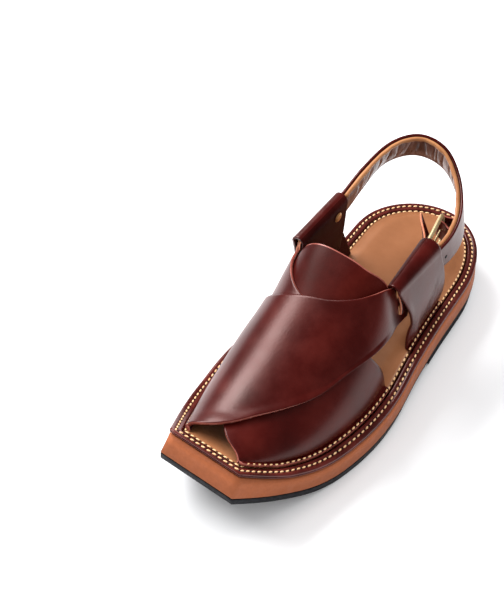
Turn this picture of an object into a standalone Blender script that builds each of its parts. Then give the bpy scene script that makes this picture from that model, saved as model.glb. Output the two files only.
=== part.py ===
"""Peshawari chappal, the left shoe of a pair: two crossed leather panels on a raised-toe sole.

The toe points along -Y, the outer (lateral) side is +X and the inner (medial) side is -X.
The origin lies on the heel's tread, so the floor is the plane z = 0.  All sizes are metres.
"""

import math
from typing import NamedTuple

import bmesh
import bpy
from mathutils import Vector

# Driving sizes of the sole
LENGTH = 0.2945
HEEL_BACK = 0.0485
BALL_WIDTH = 0.110
TOE_SPRING = 0.0270
TOE_RAKE = 0.0062
FOREFOOT_RUBBER = 0.0055
WAIST_RUBBER = 0.0016
HEEL_RISE = 0.0105
MIDSOLE_HEIGHT = 0.0130
MIDSOLE_DRAFT = 0.0014
WELT_WIDTH = 0.0070
WELT_HEIGHT = 0.0046
WELT_RECESS = 0.0012
WELT_GROOVE = 0.0005
INSOLE_HEIGHT = 0.0042
INSOLE_PAD = 0.0010
PAD_START = 0.0078
PAD_FULL = 0.0120
CLEARANCE = 0.0003

# Places along the sole, as shares of its length from the toe
FRONT_TREAD = 0.24
REAR_TREAD = 0.36
HEEL_BREAST = 0.625
HEEL_ARC = 0.80
RAKE_END = 0.12
RUBBER_TAPER_END = 0.50
SPRING_POWER = 1.6
HEEL_ROUNDNESS = 2.2

# Leather
WALL = 0.0020
OVERLAP_STEP = 0.0012
FLANGE_WIDTH = 0.0045
TOE_GAP = 0.0012
TONGUE_WALL = 0.0018
TONGUE_GAP = 0.0009
QUARTER_WALL = 0.0018
QUARTER_BULGE = 0.0034
INSTEP_HEIGHT = 0.080
CROSSING_SHIFT = 0.04

# Heel strap
STRAP_HEIGHT = 0.0205
STRAP_WALL = 0.0018
LINING_WALL = 0.0024
STRAP_FLARE = 0.0042
FOLD_RADIUS = 0.0050
TAIL_LENGTH = 0.018
TAIL_HEIGHT = 0.021
TAIL_WALL = 0.0012
TAIL_SWING = 0.0135
TAIL_LEAN = 0.003
TAIL_RISE = 0.008
TAIL_FROM_FOLD = Vector((-0.0059, -0.0019, 0.0002))

# Buckle and rivet
BUCKLE_LENGTH = 0.030
BUCKLE_HEIGHT = 0.022
BUCKLE_WIRE = 0.0030
BUCKLE_FROM_FOLD = Vector((-0.0022, -0.0029, 0.0026))
BUCKLE_SWING = 0.0058
BUCKLE_LEAN = 0.0030
BUCKLE_TILT = 0.0030
PRONG_WIRE = 0.0018
RIVET_RADIUS = 0.0029
RIVET_HEIGHT = 0.0010
RIVET_SETBACK = 0.0106
RIVET_DROP = 0.0055

SIDE_STEPS = 28
HEEL_STEPS = 9


class WidthRow(NamedTuple):
    """Half widths of the sole's edge, as shares of BALL_WIDTH."""

    share: float
    lateral: float
    medial: float


WIDTHS = (
    WidthRow(0.000, 0.238, 0.247),
    WidthRow(0.090, 0.365, 0.338),
    WidthRow(0.190, 0.480, 0.418),
    WidthRow(0.310, 0.550, 0.460),
    WidthRow(0.430, 0.555, 0.446),
    WidthRow(0.550, 0.505, 0.418),
    WidthRow(0.670, 0.462, 0.411),
    WidthRow(0.780, 0.432, 0.430),
    WidthRow(0.880, 0.402, 0.448),
    WidthRow(1.000, 0.385, 0.440),
)


class WeltRow(NamedTuple):
    """Corner of the welt's section: inset from its edge, and level as a share of WELT_HEIGHT."""

    inset: float
    level: float


WELT_PROFILE = (
    WeltRow(WELT_RECESS, 0.00),
    WeltRow(WELT_RECESS, 0.30),
    WeltRow(0.0, 0.33),
    WeltRow(0.0, 0.60),
    WeltRow(WELT_GROOVE, 0.65),
    WeltRow(0.0, 0.70),
    WeltRow(0.0, 1.00),
    WeltRow(WELT_WIDTH, 1.00),
    WeltRow(WELT_WIDTH, 0.00),
)


class FootRow(NamedTuple):
    """Form of the foot at a place along the sole.

    height is the crest's height as a share of INSTEP_HEIGHT, fullness and lean shape the
    section, and reach is the lateral half's width as a share of the sewn edge's distance.
    """

    share: float
    height: float
    fullness: float
    lean: float
    reach: float


FOOT = (
    FootRow(0.00, 0.03, 2.0, 0.00, 1.00),
    FootRow(0.05, 0.07, 2.0, 0.00, 1.00),
    FootRow(0.10, 0.17, 2.0, 0.00, 1.00),
    FootRow(0.20, 0.34, 2.1, 0.04, 1.00),
    FootRow(0.30, 0.53, 2.2, 0.08, 1.00),
    FootRow(0.40, 0.76, 2.4, 0.13, 1.00),
    FootRow(0.50, 0.97, 3.1, 0.22, 0.95),
    FootRow(0.60, 1.05, 3.4, 0.24, 0.90),
)


class PanelRow(NamedTuple):
    """Ends of one line across a panel: place along the sole and place over the foot."""

    front_share: float
    front_over: float
    rear_share: float
    rear_over: float


PANEL = (
    PanelRow(0.044, 0.00, 0.446, 0.00),
    PanelRow(0.049, 0.08, 0.424, 0.08),
    PanelRow(0.054, 0.18, 0.400, 0.18),
    PanelRow(0.060, 0.32, 0.386, 0.32),
    PanelRow(0.075, 0.44, 0.388, 0.44),
    PanelRow(0.102, 0.53, 0.402, 0.55),
    PanelRow(0.145, 0.60, 0.430, 0.64),
    PanelRow(0.200, 0.675, 0.466, 0.715),
    PanelRow(0.265, 0.745, 0.498, 0.770),
    PanelRow(0.345, 0.806, 0.522, 0.810),
    PanelRow(0.430, 0.866, 0.542, 0.840),
    PanelRow(0.535, 0.912, 0.556, 0.866),
)


class TongueRow(NamedTuple):
    """Half width of the tongue over the foot at a place along the sole."""

    share: float
    half_over: float


TONGUE = (
    TongueRow(0.330, 0.100),
    TongueRow(0.350, 0.170),
    TongueRow(0.400, 0.220),
    TongueRow(0.450, 0.245),
    TongueRow(0.480, 0.240),
    TongueRow(0.494, 0.200),
    TongueRow(0.502, 0.120),
)
TONGUE_MIDDLE = 0.52


class QuarterEnd(NamedTuple):
    """One upright edge of a quarter, front or rear.

    base, waist and fold are shares of the sole's length; fold_x is a share of BALL_WIDTH,
    fold_top one of INSTEP_HEIGHT above the heel's footbed, and radius one of FOLD_RADIUS.
    """

    base: float
    waist: float
    fold: float
    fold_x: float
    fold_top: float
    radius: float


class QuarterSizes(NamedTuple):
    """One quarter: its side of the shoe, its two edges, and its flap as a share of STRAP_HEIGHT."""

    name: str
    side: int
    front: QuarterEnd
    rear: QuarterEnd
    flap: float


LATERAL_QUARTER = QuarterSizes(
    "quarter_lateral",
    1,
    QuarterEnd(0.557, 0.564, 0.518, 0.291, 0.709, 1.04),
    QuarterEnd(0.720, 0.713, 0.694, 0.251, 0.643, 1.66),
    1.07,
)
MEDIAL_QUARTER = QuarterSizes(
    "quarter_medial",
    -1,
    QuarterEnd(0.537, 0.543, 0.501, 0.332, 0.746, 0.96),
    QuarterEnd(0.706, 0.693, 0.666, 0.336, 0.777, 1.04),
    1.27,
)


class StrapRow(NamedTuple):
    """Heel strap, from its lateral end to its medial end.

    x is a share of BALL_WIDTH, place one of the sole's length, and top, the height of the top
    edge, one of INSTEP_HEIGHT above the heel's footbed.
    """

    share: float
    x: float
    place: float
    top: float


STRAP = (
    StrapRow(0.00, 0.284, 0.617, 0.682),
    StrapRow(0.10, 0.290, 0.683, 0.650),
    StrapRow(0.20, 0.289, 0.757, 0.664),
    StrapRow(0.32, 0.230, 0.829, 0.711),
    StrapRow(0.42, 0.113, 0.884, 0.812),
    StrapRow(0.52, -0.044, 0.915, 0.921),
    StrapRow(0.62, -0.209, 0.906, 0.956),
    StrapRow(0.72, -0.314, 0.852, 0.928),
    StrapRow(0.84, -0.342, 0.757, 0.872),
    StrapRow(0.92, -0.338, 0.676, 0.806),
    StrapRow(1.00, -0.336, 0.611, 0.778),
)


def value_at(rows, share, column):
    """Read one column of a table as a smooth curve through its rows."""
    xs = [row[0] for row in rows]
    ys = [row[column] for row in rows]
    share = min(max(share, xs[0]), xs[-1])
    index = max(i for i in range(len(xs) - 1) if xs[i] <= share)
    slopes = []
    for i in (index, index + 1):
        low = max(i - 1, 0)
        high = min(i + 1, len(xs) - 1)
        slopes.append((ys[high] - ys[low]) / (xs[high] - xs[low]))
    step = xs[index + 1] - xs[index]
    t = (share - xs[index]) / step
    return (
        ys[index] * (1 + 2 * t) * (1 - t) ** 2
        + slopes[0] * step * t * (1 - t) ** 2
        + ys[index + 1] * t * t * (3 - 2 * t)
        + slopes[1] * step * t * t * (t - 1)
    )


def ease(low, high, value):
    """Smooth step from 0 at low to 1 at high."""
    t = min(max((value - low) / (high - low), 0.0), 1.0)
    return t * t * (3 - 2 * t)


def y_at(share):
    """Place along Y of a share of the sole's length."""
    return HEEL_BACK - LENGTH * (1 - share)


def share_at(y):
    """Share of the sole's length at a place along Y."""
    return 1 - (HEEL_BACK - y) / LENGTH


def rubber_top(share):
    """Height of the outsole's upper face: toe spring, flat tread, arch and heel rise."""
    spring = TOE_SPRING * max(1 - share / FRONT_TREAD, 0.0) ** SPRING_POWER
    rise = (HEEL_RISE - FOREFOOT_RUBBER) * ease(REAR_TREAD, HEEL_BREAST, share)
    return FOREFOOT_RUBBER + spring + rise


def rubber_bottom(share):
    """Height of the outsole's lower face, thick at the forefoot and thin at the waist."""
    thinning = ease(REAR_TREAD, RUBBER_TAPER_END, share)
    return rubber_top(share) - FOREFOOT_RUBBER + (FOREFOOT_RUBBER - WAIST_RUBBER) * thinning


def midsole_top(share):
    """Height of the midsole's upper face."""
    return rubber_top(share) + CLEARANCE + MIDSOLE_HEIGHT


def footbed(share):
    """Height of the insole's upper face at its rim."""
    return midsole_top(share) + CLEARANCE + INSOLE_HEIGHT


def half_width(share, side):
    """Half width of the sole's edge on one side: +1 lateral, -1 medial."""
    width = BALL_WIDTH * value_at(WIDTHS, share, 1 if side > 0 else 2)
    t = min(max((share - HEEL_ARC) / (1 - HEEL_ARC), 0.0), 1.0)
    return width * math.sqrt(max(1 - t ** HEEL_ROUNDNESS, 0.0))


def stations(start=0.0):
    """Shares along the sole, close together round the heel; the heel's tip is left out."""
    straight = [start + (HEEL_ARC - start) * i / SIDE_STEPS for i in range(SIDE_STEPS)]
    arc = [
        HEEL_ARC + (1 - HEEL_ARC) * math.sin(0.5 * math.pi * i / HEEL_STEPS)
        for i in range(HEEL_STEPS)
    ]
    return straight + arc


def outline(inset=0.0, start=0.0, rake=0.0):
    """Loop round the sole, inset by a distance, from the lateral toe corner over the heel.

    The corners at the toe are mitred.  Each point is (x, y, share).
    """
    shares = stations(start)
    tip_x = BALL_WIDTH * (value_at(WIDTHS, 1.0, 1) - value_at(WIDTHS, 1.0, 2)) / 2
    lateral = [(half_width(s, 1), y_at(s), s) for s in shares]
    medial = [(-half_width(s, -1), y_at(s), s) for s in reversed(shares)]
    raw = lateral + [(tip_x, y_at(1.0), 1.0)] + medial
    count = len(raw)
    loop = []
    for i, (x, y, _) in enumerate(raw):
        before = Vector(raw[i - 1][:2])
        here = Vector((x, y))
        after = Vector(raw[(i + 1) % count][:2])
        first = (here - before).normalized()
        second = (after - here).normalized()
        normal_a = Vector((-first.y, first.x))
        normal_b = Vector((-second.y, second.x))
        shift = (normal_a + normal_b) * (inset / (1 + normal_a.dot(normal_b)))
        place = share_at(y + shift.y)
        fade = max(1 - (place - start) / RAKE_END, 0.0)
        loop.append((x + shift.x, y + shift.y + rake * fade, place))
    return loop


def add_loop(bm, loop, height):
    """Add a loop's points to a bmesh at the heights that a function of the share gives."""
    return [bm.verts.new((x, y, height(share))) for x, y, share in loop]


def bridge(bm, lower, upper, closed=True):
    """Join two rows of vertices with a band of faces."""
    count = len(lower)
    for i in range(count if closed else count - 1):
        j = (i + 1) % count
        bm.faces.new((lower[i], lower[j], upper[j], upper[i]))


def close_loop(bm, loop, up):
    """Fill a sole-shaped loop with rungs between its lateral and medial points."""
    count = len(loop)
    for i in range(count // 2):
        corners = [loop[i], loop[i + 1], loop[count - 2 - i], loop[count - 1 - i]]
        corners = list(dict.fromkeys(corners))
        bm.faces.new(corners if up else corners[::-1])


def leather_material(name, colour, roughness, metallic=0.0):
    """A plain material with one colour."""
    material = bpy.data.materials.new(name)
    material.use_nodes = True
    shader = material.node_tree.nodes["Principled BSDF"]
    shader.inputs["Base Color"].default_value = (*colour, 1.0)
    shader.inputs["Roughness"].default_value = roughness
    shader.inputs["Metallic"].default_value = metallic
    material.diffuse_color = (*colour, 1.0)
    return material


def finish_object(name, bm, material, sharp_angle=math.radians(35)):
    """Turn a bmesh into a named object with outward faces and smooth round parts."""
    bmesh.ops.recalc_face_normals(bm, faces=bm.faces)
    mesh = bpy.data.meshes.new(name)
    bm.to_mesh(mesh)
    bm.free()
    mesh.shade_smooth()
    mesh.set_sharp_from_angle(angle=sharp_angle)
    mesh.materials.append(material)
    item = bpy.data.objects.new(name, mesh)
    bpy.context.collection.objects.link(item)
    return item


def stack(name, material, layers):
    """A solid between sole-shaped loops, each given as (loop, height function)."""
    bm = bmesh.new()
    rows = [add_loop(bm, loop, height) for loop, height in layers]
    for lower, upper in zip(rows, rows[1:]):
        bridge(bm, lower, upper)
    close_loop(bm, rows[0], up=False)
    close_loop(bm, rows[-1], up=True)
    return finish_object(name, bm, material)


def outsole(material):
    """Rubber sheet under the whole sole."""
    edge = outline()
    return stack("outsole", material, [(edge, rubber_bottom), (edge, rubber_top)])


def heel_block(material):
    """Rubber block under the heel, its lower edge eased."""
    chamfer = 0.0010
    face = outline(0.0004, HEEL_BREAST)
    foot = outline(0.0004 + chamfer, HEEL_BREAST)
    top = rubber_bottom(1.0) - CLEARANCE
    return stack(
        "heel_block",
        material,
        [(foot, lambda s: 0.0), (face, lambda s: chamfer), (face, lambda s: top)],
    )


def midsole(material):
    """Foam wedge with a raked, squared toe."""
    return stack(
        "midsole",
        material,
        [
            (outline(), lambda s: rubber_top(s) + CLEARANCE),
            (outline(MIDSOLE_DRAFT, rake=TOE_RAKE), midsole_top),
        ],
    )


def welt_outline(inset):
    """Loop inset from the welt's outer edge."""
    return outline(MIDSOLE_DRAFT + inset, rake=TOE_RAKE)


def welt(material):
    """Leather rim: a recessed lower layer, then a groove, then the top layer."""
    bm = bmesh.new()
    rows = []
    for inset, level in WELT_PROFILE:
        lift = CLEARANCE + WELT_HEIGHT * level
        rows.append(add_loop(bm, welt_outline(inset), lambda s: midsole_top(s) + lift))
    for lower, upper in zip(rows, rows[1:] + rows[:1]):
        bridge(bm, lower, upper)
    return finish_object("welt", bm, material)


def insole(material):
    """Leather footbed inside the welt, its middle padded."""
    edge = welt_outline(WELT_WIDTH + CLEARANCE)
    bm = bmesh.new()
    lower = add_loop(bm, edge, lambda s: midsole_top(s) + CLEARANCE)
    rim = add_loop(bm, edge, footbed)
    bridge(bm, lower, rim, closed=False)
    close_loop(bm, lower, up=False)
    count = len(rim)
    rows = []
    for i in range(count // 2):
        lateral = rim[i]
        medial = rim[count - 1 - i]
        place = edge[i][2]
        across = lateral.co.x - medial.co.x
        swell = INSOLE_PAD * ease(0.05, 0.12, place) * (1 - ease(0.94, 0.99, place))
        row = [lateral]
        for distance in (PAD_START, PAD_FULL):
            step = min(distance, across * distance / (3 * PAD_FULL))
            lift = swell if distance == PAD_FULL else 0.0
            row.append(bm.verts.new((lateral.co.x - step, lateral.co.y, lateral.co.z + lift)))
        for distance in (PAD_FULL, PAD_START):
            step = min(distance, across * distance / (3 * PAD_FULL))
            lift = swell if distance == PAD_FULL else 0.0
            row.append(bm.verts.new((medial.co.x + step, medial.co.y, medial.co.z + lift)))
        row.append(medial)
        rows.append(row)
    for front, rear in zip(rows, rows[1:]):
        bridge(bm, front, rear, closed=False)
    bm.faces.new([lower[-1], lower[0], *rows[0]])
    bm.faces.new([*rows[-1], rim[count // 2]])
    return finish_object("insole", bm, material)


def base_point(share, side, out=0.0):
    """Point where the leather turns up from the footbed, or out from there on the flange."""
    inset = MIDSOLE_DRAFT + WELT_WIDTH + 2 * CLEARANCE + FLANGE_WIDTH - out
    widening = half_width(share + 0.01, side) - half_width(share - 0.01, side)
    slope = widening / (0.02 * LENGTH)
    x = side * (half_width(share, side) - inset * math.hypot(1.0, slope))
    near_toe = max(1 - share / RAKE_END, 0.0)
    z = footbed(share) + CLEARANCE + TOE_GAP * near_toe
    return Vector((x, y_at(share) + TOE_RAKE * near_toe, z))


def foot_point(share, over, lift=0.0):
    """Point on the foot's form: over runs from 0 at the lateral base to 1 at the medial."""
    lateral = base_point(share, 1)
    medial = base_point(share, -1)
    middle = (lateral + medial) / 2
    reach = (lateral.x - medial.x) / 2
    height = INSTEP_HEIGHT * value_at(FOOT, share, 1)
    power = 2 / value_at(FOOT, share, 2)
    lean = value_at(FOOT, share, 3)
    angle = math.pi * over
    across = math.copysign(abs(math.cos(angle)) ** power, math.cos(angle))
    up = max(math.sin(angle), 0.0) ** power
    if across > 0:
        across *= value_at(FOOT, share, 4)
    x = middle.x + reach * (across - lean * up) + lift * across
    return Vector((x, middle.y, middle.z + (height + lift) * up))


def sheet(name, grid, wall, material):
    """A leather sheet whose grid is its inner face; the wall lies on the side away from Y's axis."""
    middle_row = len(grid) // 2
    middle = len(grid[0]) // 2
    here = grid[middle_row][middle]
    facing = (grid[middle_row + 1][middle] - here).cross(grid[middle_row][middle + 1] - here)
    if facing.dot(Vector((here.x, 0.0, here.z))) > 0:
        grid = grid[::-1]
    bm = bmesh.new()
    rows = [[bm.verts.new(point) for point in row] for row in grid]
    for lower, upper in zip(rows, rows[1:]):
        bridge(bm, lower, upper, closed=False)
    mesh = bpy.data.meshes.new(name)
    bm.to_mesh(mesh)
    bm.free()
    mesh.materials.append(material)
    item = bpy.data.objects.new(name, mesh)
    bpy.context.collection.objects.link(item)
    solid = item.modifiers.new("wall", "SOLIDIFY")
    solid.thickness = wall
    solid.offset = 1.0
    solid.use_even_offset = False
    return item


def panel_grid(side, lift):
    """Grid over the foot of the panel that is sewn down on one side of the sole."""
    along = 22
    across = 18
    first = PANEL[0]
    grid = []
    flange = []
    for j in range(across + 1):
        share = first.front_share + (first.rear_share - first.front_share) * j / across
        flange.append(base_point(share, side, out=FLANGE_WIDTH))
    grid.append(flange)
    rows = [(i / (len(PANEL) - 1), *row) for i, row in enumerate(PANEL)]
    for i in range(along + 1):
        t = i / along
        front_share, front_over, rear_share, rear_over = (
            value_at(rows, t, column) for column in (1, 2, 3, 4)
        )
        line = []
        for j in range(across + 1):
            k = j / across
            share = front_share + (rear_share - front_share) * k
            over = front_over + (rear_over - front_over) * k
            place = over if side > 0 else 1 - over
            place += CROSSING_SHIFT * math.sin(math.pi * place)
            raised = lift * ease(0.0, 0.12, over) * (1 - ease(0.46, 0.52, share))
            line.append(foot_point(share, place, raised))
        grid.append(line)
    return grid


def upper(material):
    """Both crossed panels as one hollow solid, the medial one on top."""
    under = sheet("upper", panel_grid(1, 0.0), WALL, material)
    over = sheet("over_panel", panel_grid(-1, OVERLAP_STEP), WALL, material)
    over.hide_render = True
    over.display_type = "WIRE"
    union = under.modifiers.new("crossing", "BOOLEAN")
    union.operation = "UNION"
    union.solver = "EXACT"
    union.object = over
    return under


def tongue(material):
    """Rounded shield of leather under the crossing."""
    lift = -TONGUE_WALL - TONGUE_GAP
    along = 12
    across = 16
    grid = []
    for i in range(along + 1):
        t = math.sin(0.5 * math.pi * i / along)
        share = TONGUE[0].share + (TONGUE[-1].share - TONGUE[0].share) * t
        half = value_at(TONGUE, share, 1)
        line = []
        for j in range(across + 1):
            over = TONGUE_MIDDLE + half * (2 * j / across - 1)
            line.append(foot_point(share, over, lift))
        grid.append(line)
    return sheet("tongue", grid, TONGUE_WALL, material)


def mix(a, b, t):
    """Value between a and b."""
    return a + (b - a) * t


def fold_centre(sizes, t):
    """Middle of a quarter's fold over the strap, t from its front edge to its rear edge."""
    front = sizes.front
    rear = sizes.rear
    x = BALL_WIDTH * mix(front.fold_x, rear.fold_x, t)
    z = footbed(1.0) + INSTEP_HEIGHT * mix(front.fold_top, rear.fold_top, t)
    return Vector((sizes.side * x, y_at(mix(front.fold, rear.fold, t)), z))


def quarter(sizes, material):
    """Side strap: sewn flange, wall, fold over the heel strap, and a flap inside."""
    stations_along = 7
    wall_steps = 6
    fold_steps = 8
    flap_steps = 3
    front = sizes.front
    rear = sizes.rear
    grid = []
    for j in range(stations_along + 1):
        t = j / stations_along
        share = mix(front.base, rear.base, t)
        base = base_point(share, sizes.side)
        waist_y = y_at(mix(front.waist, rear.waist, t))
        fold = fold_centre(sizes, t)
        radius = FOLD_RADIUS * mix(front.radius, rear.radius, t) - QUARTER_WALL
        line = [base_point(share, sizes.side, out=FLANGE_WIDTH)]
        for i in range(wall_steps):
            k = i / wall_steps
            along_y = base.y * (1 - k) ** 2 + 2 * waist_y * k * (1 - k) + fold.y * k * k
            reach = mix(abs(base.x), abs(fold.x) + radius, k)
            x = reach + QUARTER_BULGE * math.sin(math.pi * k)
            line.append(Vector((sizes.side * x, along_y, mix(base.z, fold.z, k))))
        for i in range(fold_steps + 1):
            angle = math.pi * i / fold_steps
            x = abs(fold.x) + radius * math.cos(angle)
            line.append(Vector((sizes.side * x, fold.y, fold.z + radius * math.sin(angle))))
        inner_x = sizes.side * (abs(fold.x) - radius)
        for i in range(1, flap_steps + 1):
            drop = STRAP_HEIGHT * sizes.flap * i / flap_steps
            line.append(Vector((inner_x, fold.y, fold.z - drop)))
        grid.append(line)
    return sheet(sizes.name, grid, QUARTER_WALL, material)


def strap_plan(t):
    """Place of the heel strap's inner face in plan."""
    x = BALL_WIDTH * value_at(STRAP, t, 1)
    return Vector((x, y_at(value_at(STRAP, t, 2))))


def strap_point(t, down, outward):
    """Point on the heel strap: along it, down from its top edge, and outward from its lining."""
    here = strap_plan(t)
    top = footbed(1.0) + INSTEP_HEIGHT * value_at(STRAP, t, 3)
    run = (strap_plan(t + 0.01) - strap_plan(t - 0.01)).normalized()
    out = Vector((run.y, -run.x))
    flare = STRAP_FLARE * down / STRAP_HEIGHT * ease(0.08, 0.30, t) * (1 - ease(0.70, 0.90, t))
    shift = outward + flare
    return Vector((here.x + out.x * shift, here.y + out.y * shift, top - down))


def strap_layer(name, material, start, end, depths, inner, outer):
    """One layer of the heel strap, a band between two offsets from its middle line."""
    steps = 40
    bm = bmesh.new()
    rows = []
    for i in range(steps + 1):
        t = mix(start, end, i / steps)
        ring = [strap_point(t, down, outer) for down in depths]
        ring += [strap_point(t, down, inner) for down in reversed(depths)]
        rows.append([bm.verts.new(point) for point in ring])
    for lower, upper in zip(rows, rows[1:]):
        bridge(bm, lower, upper)
    bm.faces.new(rows[0][::-1])
    bm.faces.new(rows[-1])
    return finish_object(name, bm, material)


def heel_strap(brown, tan):
    """Brown strap and its padded tan lining."""
    depths = [0.0, STRAP_HEIGHT / 2, STRAP_HEIGHT]
    strap_layer("heel_strap", brown, 0.0, 1.0, depths, 0.0, STRAP_WALL)
    lining = [0.0006, 0.0018, STRAP_HEIGHT / 2, STRAP_HEIGHT - 0.001]
    strap_layer("strap_lining", tan, 0.14, 0.92, lining, -LINING_WALL - CLEARANCE, -CLEARANCE)


def strap_tail(material):
    """The strap's end, which comes out of the lateral fold and hangs inside the buckle."""
    grid = []
    steps = 8
    root = fold_centre(LATERAL_QUARTER, 1.0) + TAIL_FROM_FOLD
    for i in range(steps + 1):
        t = i / steps
        x = root.x - TAIL_SWING * ease(0.08, 1.10, t)
        y = root.y + TAIL_LENGTH * t
        grid.append([
            Vector((x + TAIL_LEAN * t * t * k, y, root.z + TAIL_RISE * t - TAIL_HEIGHT * k))
            for k in (0.0, 0.25, 0.5, 0.75, 1.0)
        ])
    return sheet("strap_tail", grid, TAIL_WALL, material)


def wire(name, points, radius, material, closed):
    """A round wire along a path of points."""
    curve = bpy.data.curves.new(name, "CURVE")
    curve.dimensions = "3D"
    curve.bevel_depth = radius
    curve.bevel_resolution = 2
    curve.use_fill_caps = True
    spline = curve.splines.new("POLY")
    spline.points.add(len(points) - 1)
    for target, point in zip(spline.points, points):
        target.co = (*point, 1.0)
    spline.use_cyclic_u = closed
    curve.materials.append(material)
    item = bpy.data.objects.new(name, curve)
    bpy.context.collection.objects.link(item)
    return item


def buckle(material):
    """Rectangular brass frame with rounded corners, and its prong."""
    front = fold_centre(LATERAL_QUARTER, 1.0) + BUCKLE_FROM_FOLD
    rear = front + Vector((-BUCKLE_SWING, BUCKLE_LENGTH, BUCKLE_TILT))
    centre = (front + rear) / 2 - Vector((0, 0, BUCKLE_HEIGHT / 2))
    corner = 0.0035
    along = (rear - front).normalized()
    half_length = (rear - front).length / 2 - corner
    half_height = BUCKLE_HEIGHT / 2 - corner
    points = []
    for sign_a, sign_b, start in ((1, 1, 0), (-1, 1, 90), (-1, -1, 180), (1, -1, 270)):
        for step in range(4):
            angle = math.radians(start + 30 * step)
            a = sign_a * half_length + corner * math.cos(angle)
            b = sign_b * half_height + corner * math.sin(angle)
            outward = BUCKLE_LEAN * (0.5 - b / BUCKLE_HEIGHT)
            points.append(centre + along * a + Vector((outward, 0, b)))
    wire("buckle_frame", points, BUCKLE_WIRE / 2, material, closed=True)
    reach = half_length + corner - BUCKLE_WIRE / 2 - CLEARANCE
    middle = centre + Vector((BUCKLE_LEAN / 2, 0, 0))
    ends = [middle - along * reach, middle + along * reach]
    wire("buckle_prong", ends, PRONG_WIRE / 2, material, closed=False)


def rivet(name, place, axis, material):
    """Low round rivet head on the face that the axis leaves."""
    bm = bmesh.new()
    bmesh.ops.create_cone(
        bm, cap_ends=True, segments=20, radius1=RIVET_RADIUS, radius2=RIVET_RADIUS * 0.8,
        depth=RIVET_HEIGHT,
    )
    turn = Vector((0, 0, 1)).rotation_difference(axis)
    for vertex in bm.verts:
        vertex.co = turn @ (vertex.co + Vector((0, 0, RIVET_HEIGHT / 2))) + place
    return finish_object(name, bm, material)


def main():
    """Build every piece of the shoe."""
    for item in list(bpy.data.objects):
        bpy.data.objects.remove(item, do_unlink=True)
    brown = leather_material("brown_leather", (0.12, 0.022, 0.014), 0.28)
    tan = leather_material("tan_leather", (0.50, 0.26, 0.12), 0.50)
    foam = leather_material("tan_foam", (0.42, 0.17, 0.08), 0.70)
    rubber = leather_material("black_rubber", (0.012, 0.012, 0.014), 0.60)
    brass = leather_material("aged_brass", (0.45, 0.33, 0.16), 0.30, metallic=1.0)
    outsole(rubber)
    heel_block(rubber)
    midsole(foam)
    welt(brown)
    insole(tan)
    upper(brown)
    tongue(brown)
    quarter(LATERAL_QUARTER, brown)
    quarter(MEDIAL_QUARTER, brown)
    heel_strap(brown, tan)
    strap_tail(brown)
    buckle(brass)
    fold = fold_centre(MEDIAL_QUARTER, 1.0)
    flap_face = fold.x + FOLD_RADIUS * MEDIAL_QUARTER.rear.radius
    place = Vector((flap_face + CLEARANCE, fold.y - RIVET_SETBACK, fold.z - RIVET_DROP))
    rivet("rivet_medial", place, Vector((1, 0, 0)), brass)


main()
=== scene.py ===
"""Looks of a peshawari chappal, the left shoe of a pair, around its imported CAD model.

Everything is in metres in the part's own frame: the toe points along -Y, the outer side of the
foot is +X, and the floor is z = 0.
"""

import logging
import math
from dataclasses import dataclass, field
from enum import Enum
from typing import Callable, NamedTuple

import bmesh
import bpy
from mathutils import Matrix, Vector


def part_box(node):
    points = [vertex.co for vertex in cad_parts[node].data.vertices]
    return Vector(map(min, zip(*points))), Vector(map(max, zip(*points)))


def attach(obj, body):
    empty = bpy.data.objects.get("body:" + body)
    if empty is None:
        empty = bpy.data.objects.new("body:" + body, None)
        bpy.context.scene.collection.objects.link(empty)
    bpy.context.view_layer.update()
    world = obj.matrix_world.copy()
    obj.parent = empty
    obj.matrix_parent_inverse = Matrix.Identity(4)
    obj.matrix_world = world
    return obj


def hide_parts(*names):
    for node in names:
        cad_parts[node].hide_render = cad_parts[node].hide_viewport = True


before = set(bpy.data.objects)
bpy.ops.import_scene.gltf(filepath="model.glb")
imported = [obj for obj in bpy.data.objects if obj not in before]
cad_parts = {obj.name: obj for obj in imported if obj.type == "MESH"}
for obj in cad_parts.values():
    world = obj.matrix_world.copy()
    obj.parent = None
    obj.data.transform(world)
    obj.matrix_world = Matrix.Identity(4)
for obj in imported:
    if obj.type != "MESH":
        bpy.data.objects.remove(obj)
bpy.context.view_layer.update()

LOG = logging.getLogger("chappal")
BODY = "root"
MERGE = 1e-6
CUT_EDGE = 0.8

Colour = tuple[float, float, float]
Point = tuple[float, float, float]
Span = tuple[float, float]
Material = bpy.types.Material
Socket = bpy.types.NodeSocket
Height = Callable[[float], float]
Surface = Callable[[float, float], Vector]


class Side(Enum):
    """Side of the foot, with the sign of its x."""

    LATERAL = 1
    MEDIAL = -1


class LeatherFace(Enum):
    """Face of a leather piece, with the place of its finish among the piece's materials."""

    GRAIN = 0
    OTHER = 1


def mix(low: float, high: float, t: float) -> float:
    """Return the value between low and high at t."""
    return low + (high - low) * t


def ease(low: float, high: float, value: float) -> float:
    """Return a smooth step from 0 at low to 1 at high."""
    t = min(max((value - low) / (high - low), 0.0), 1.0)
    return t * t * (3 - 2 * t)


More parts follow.
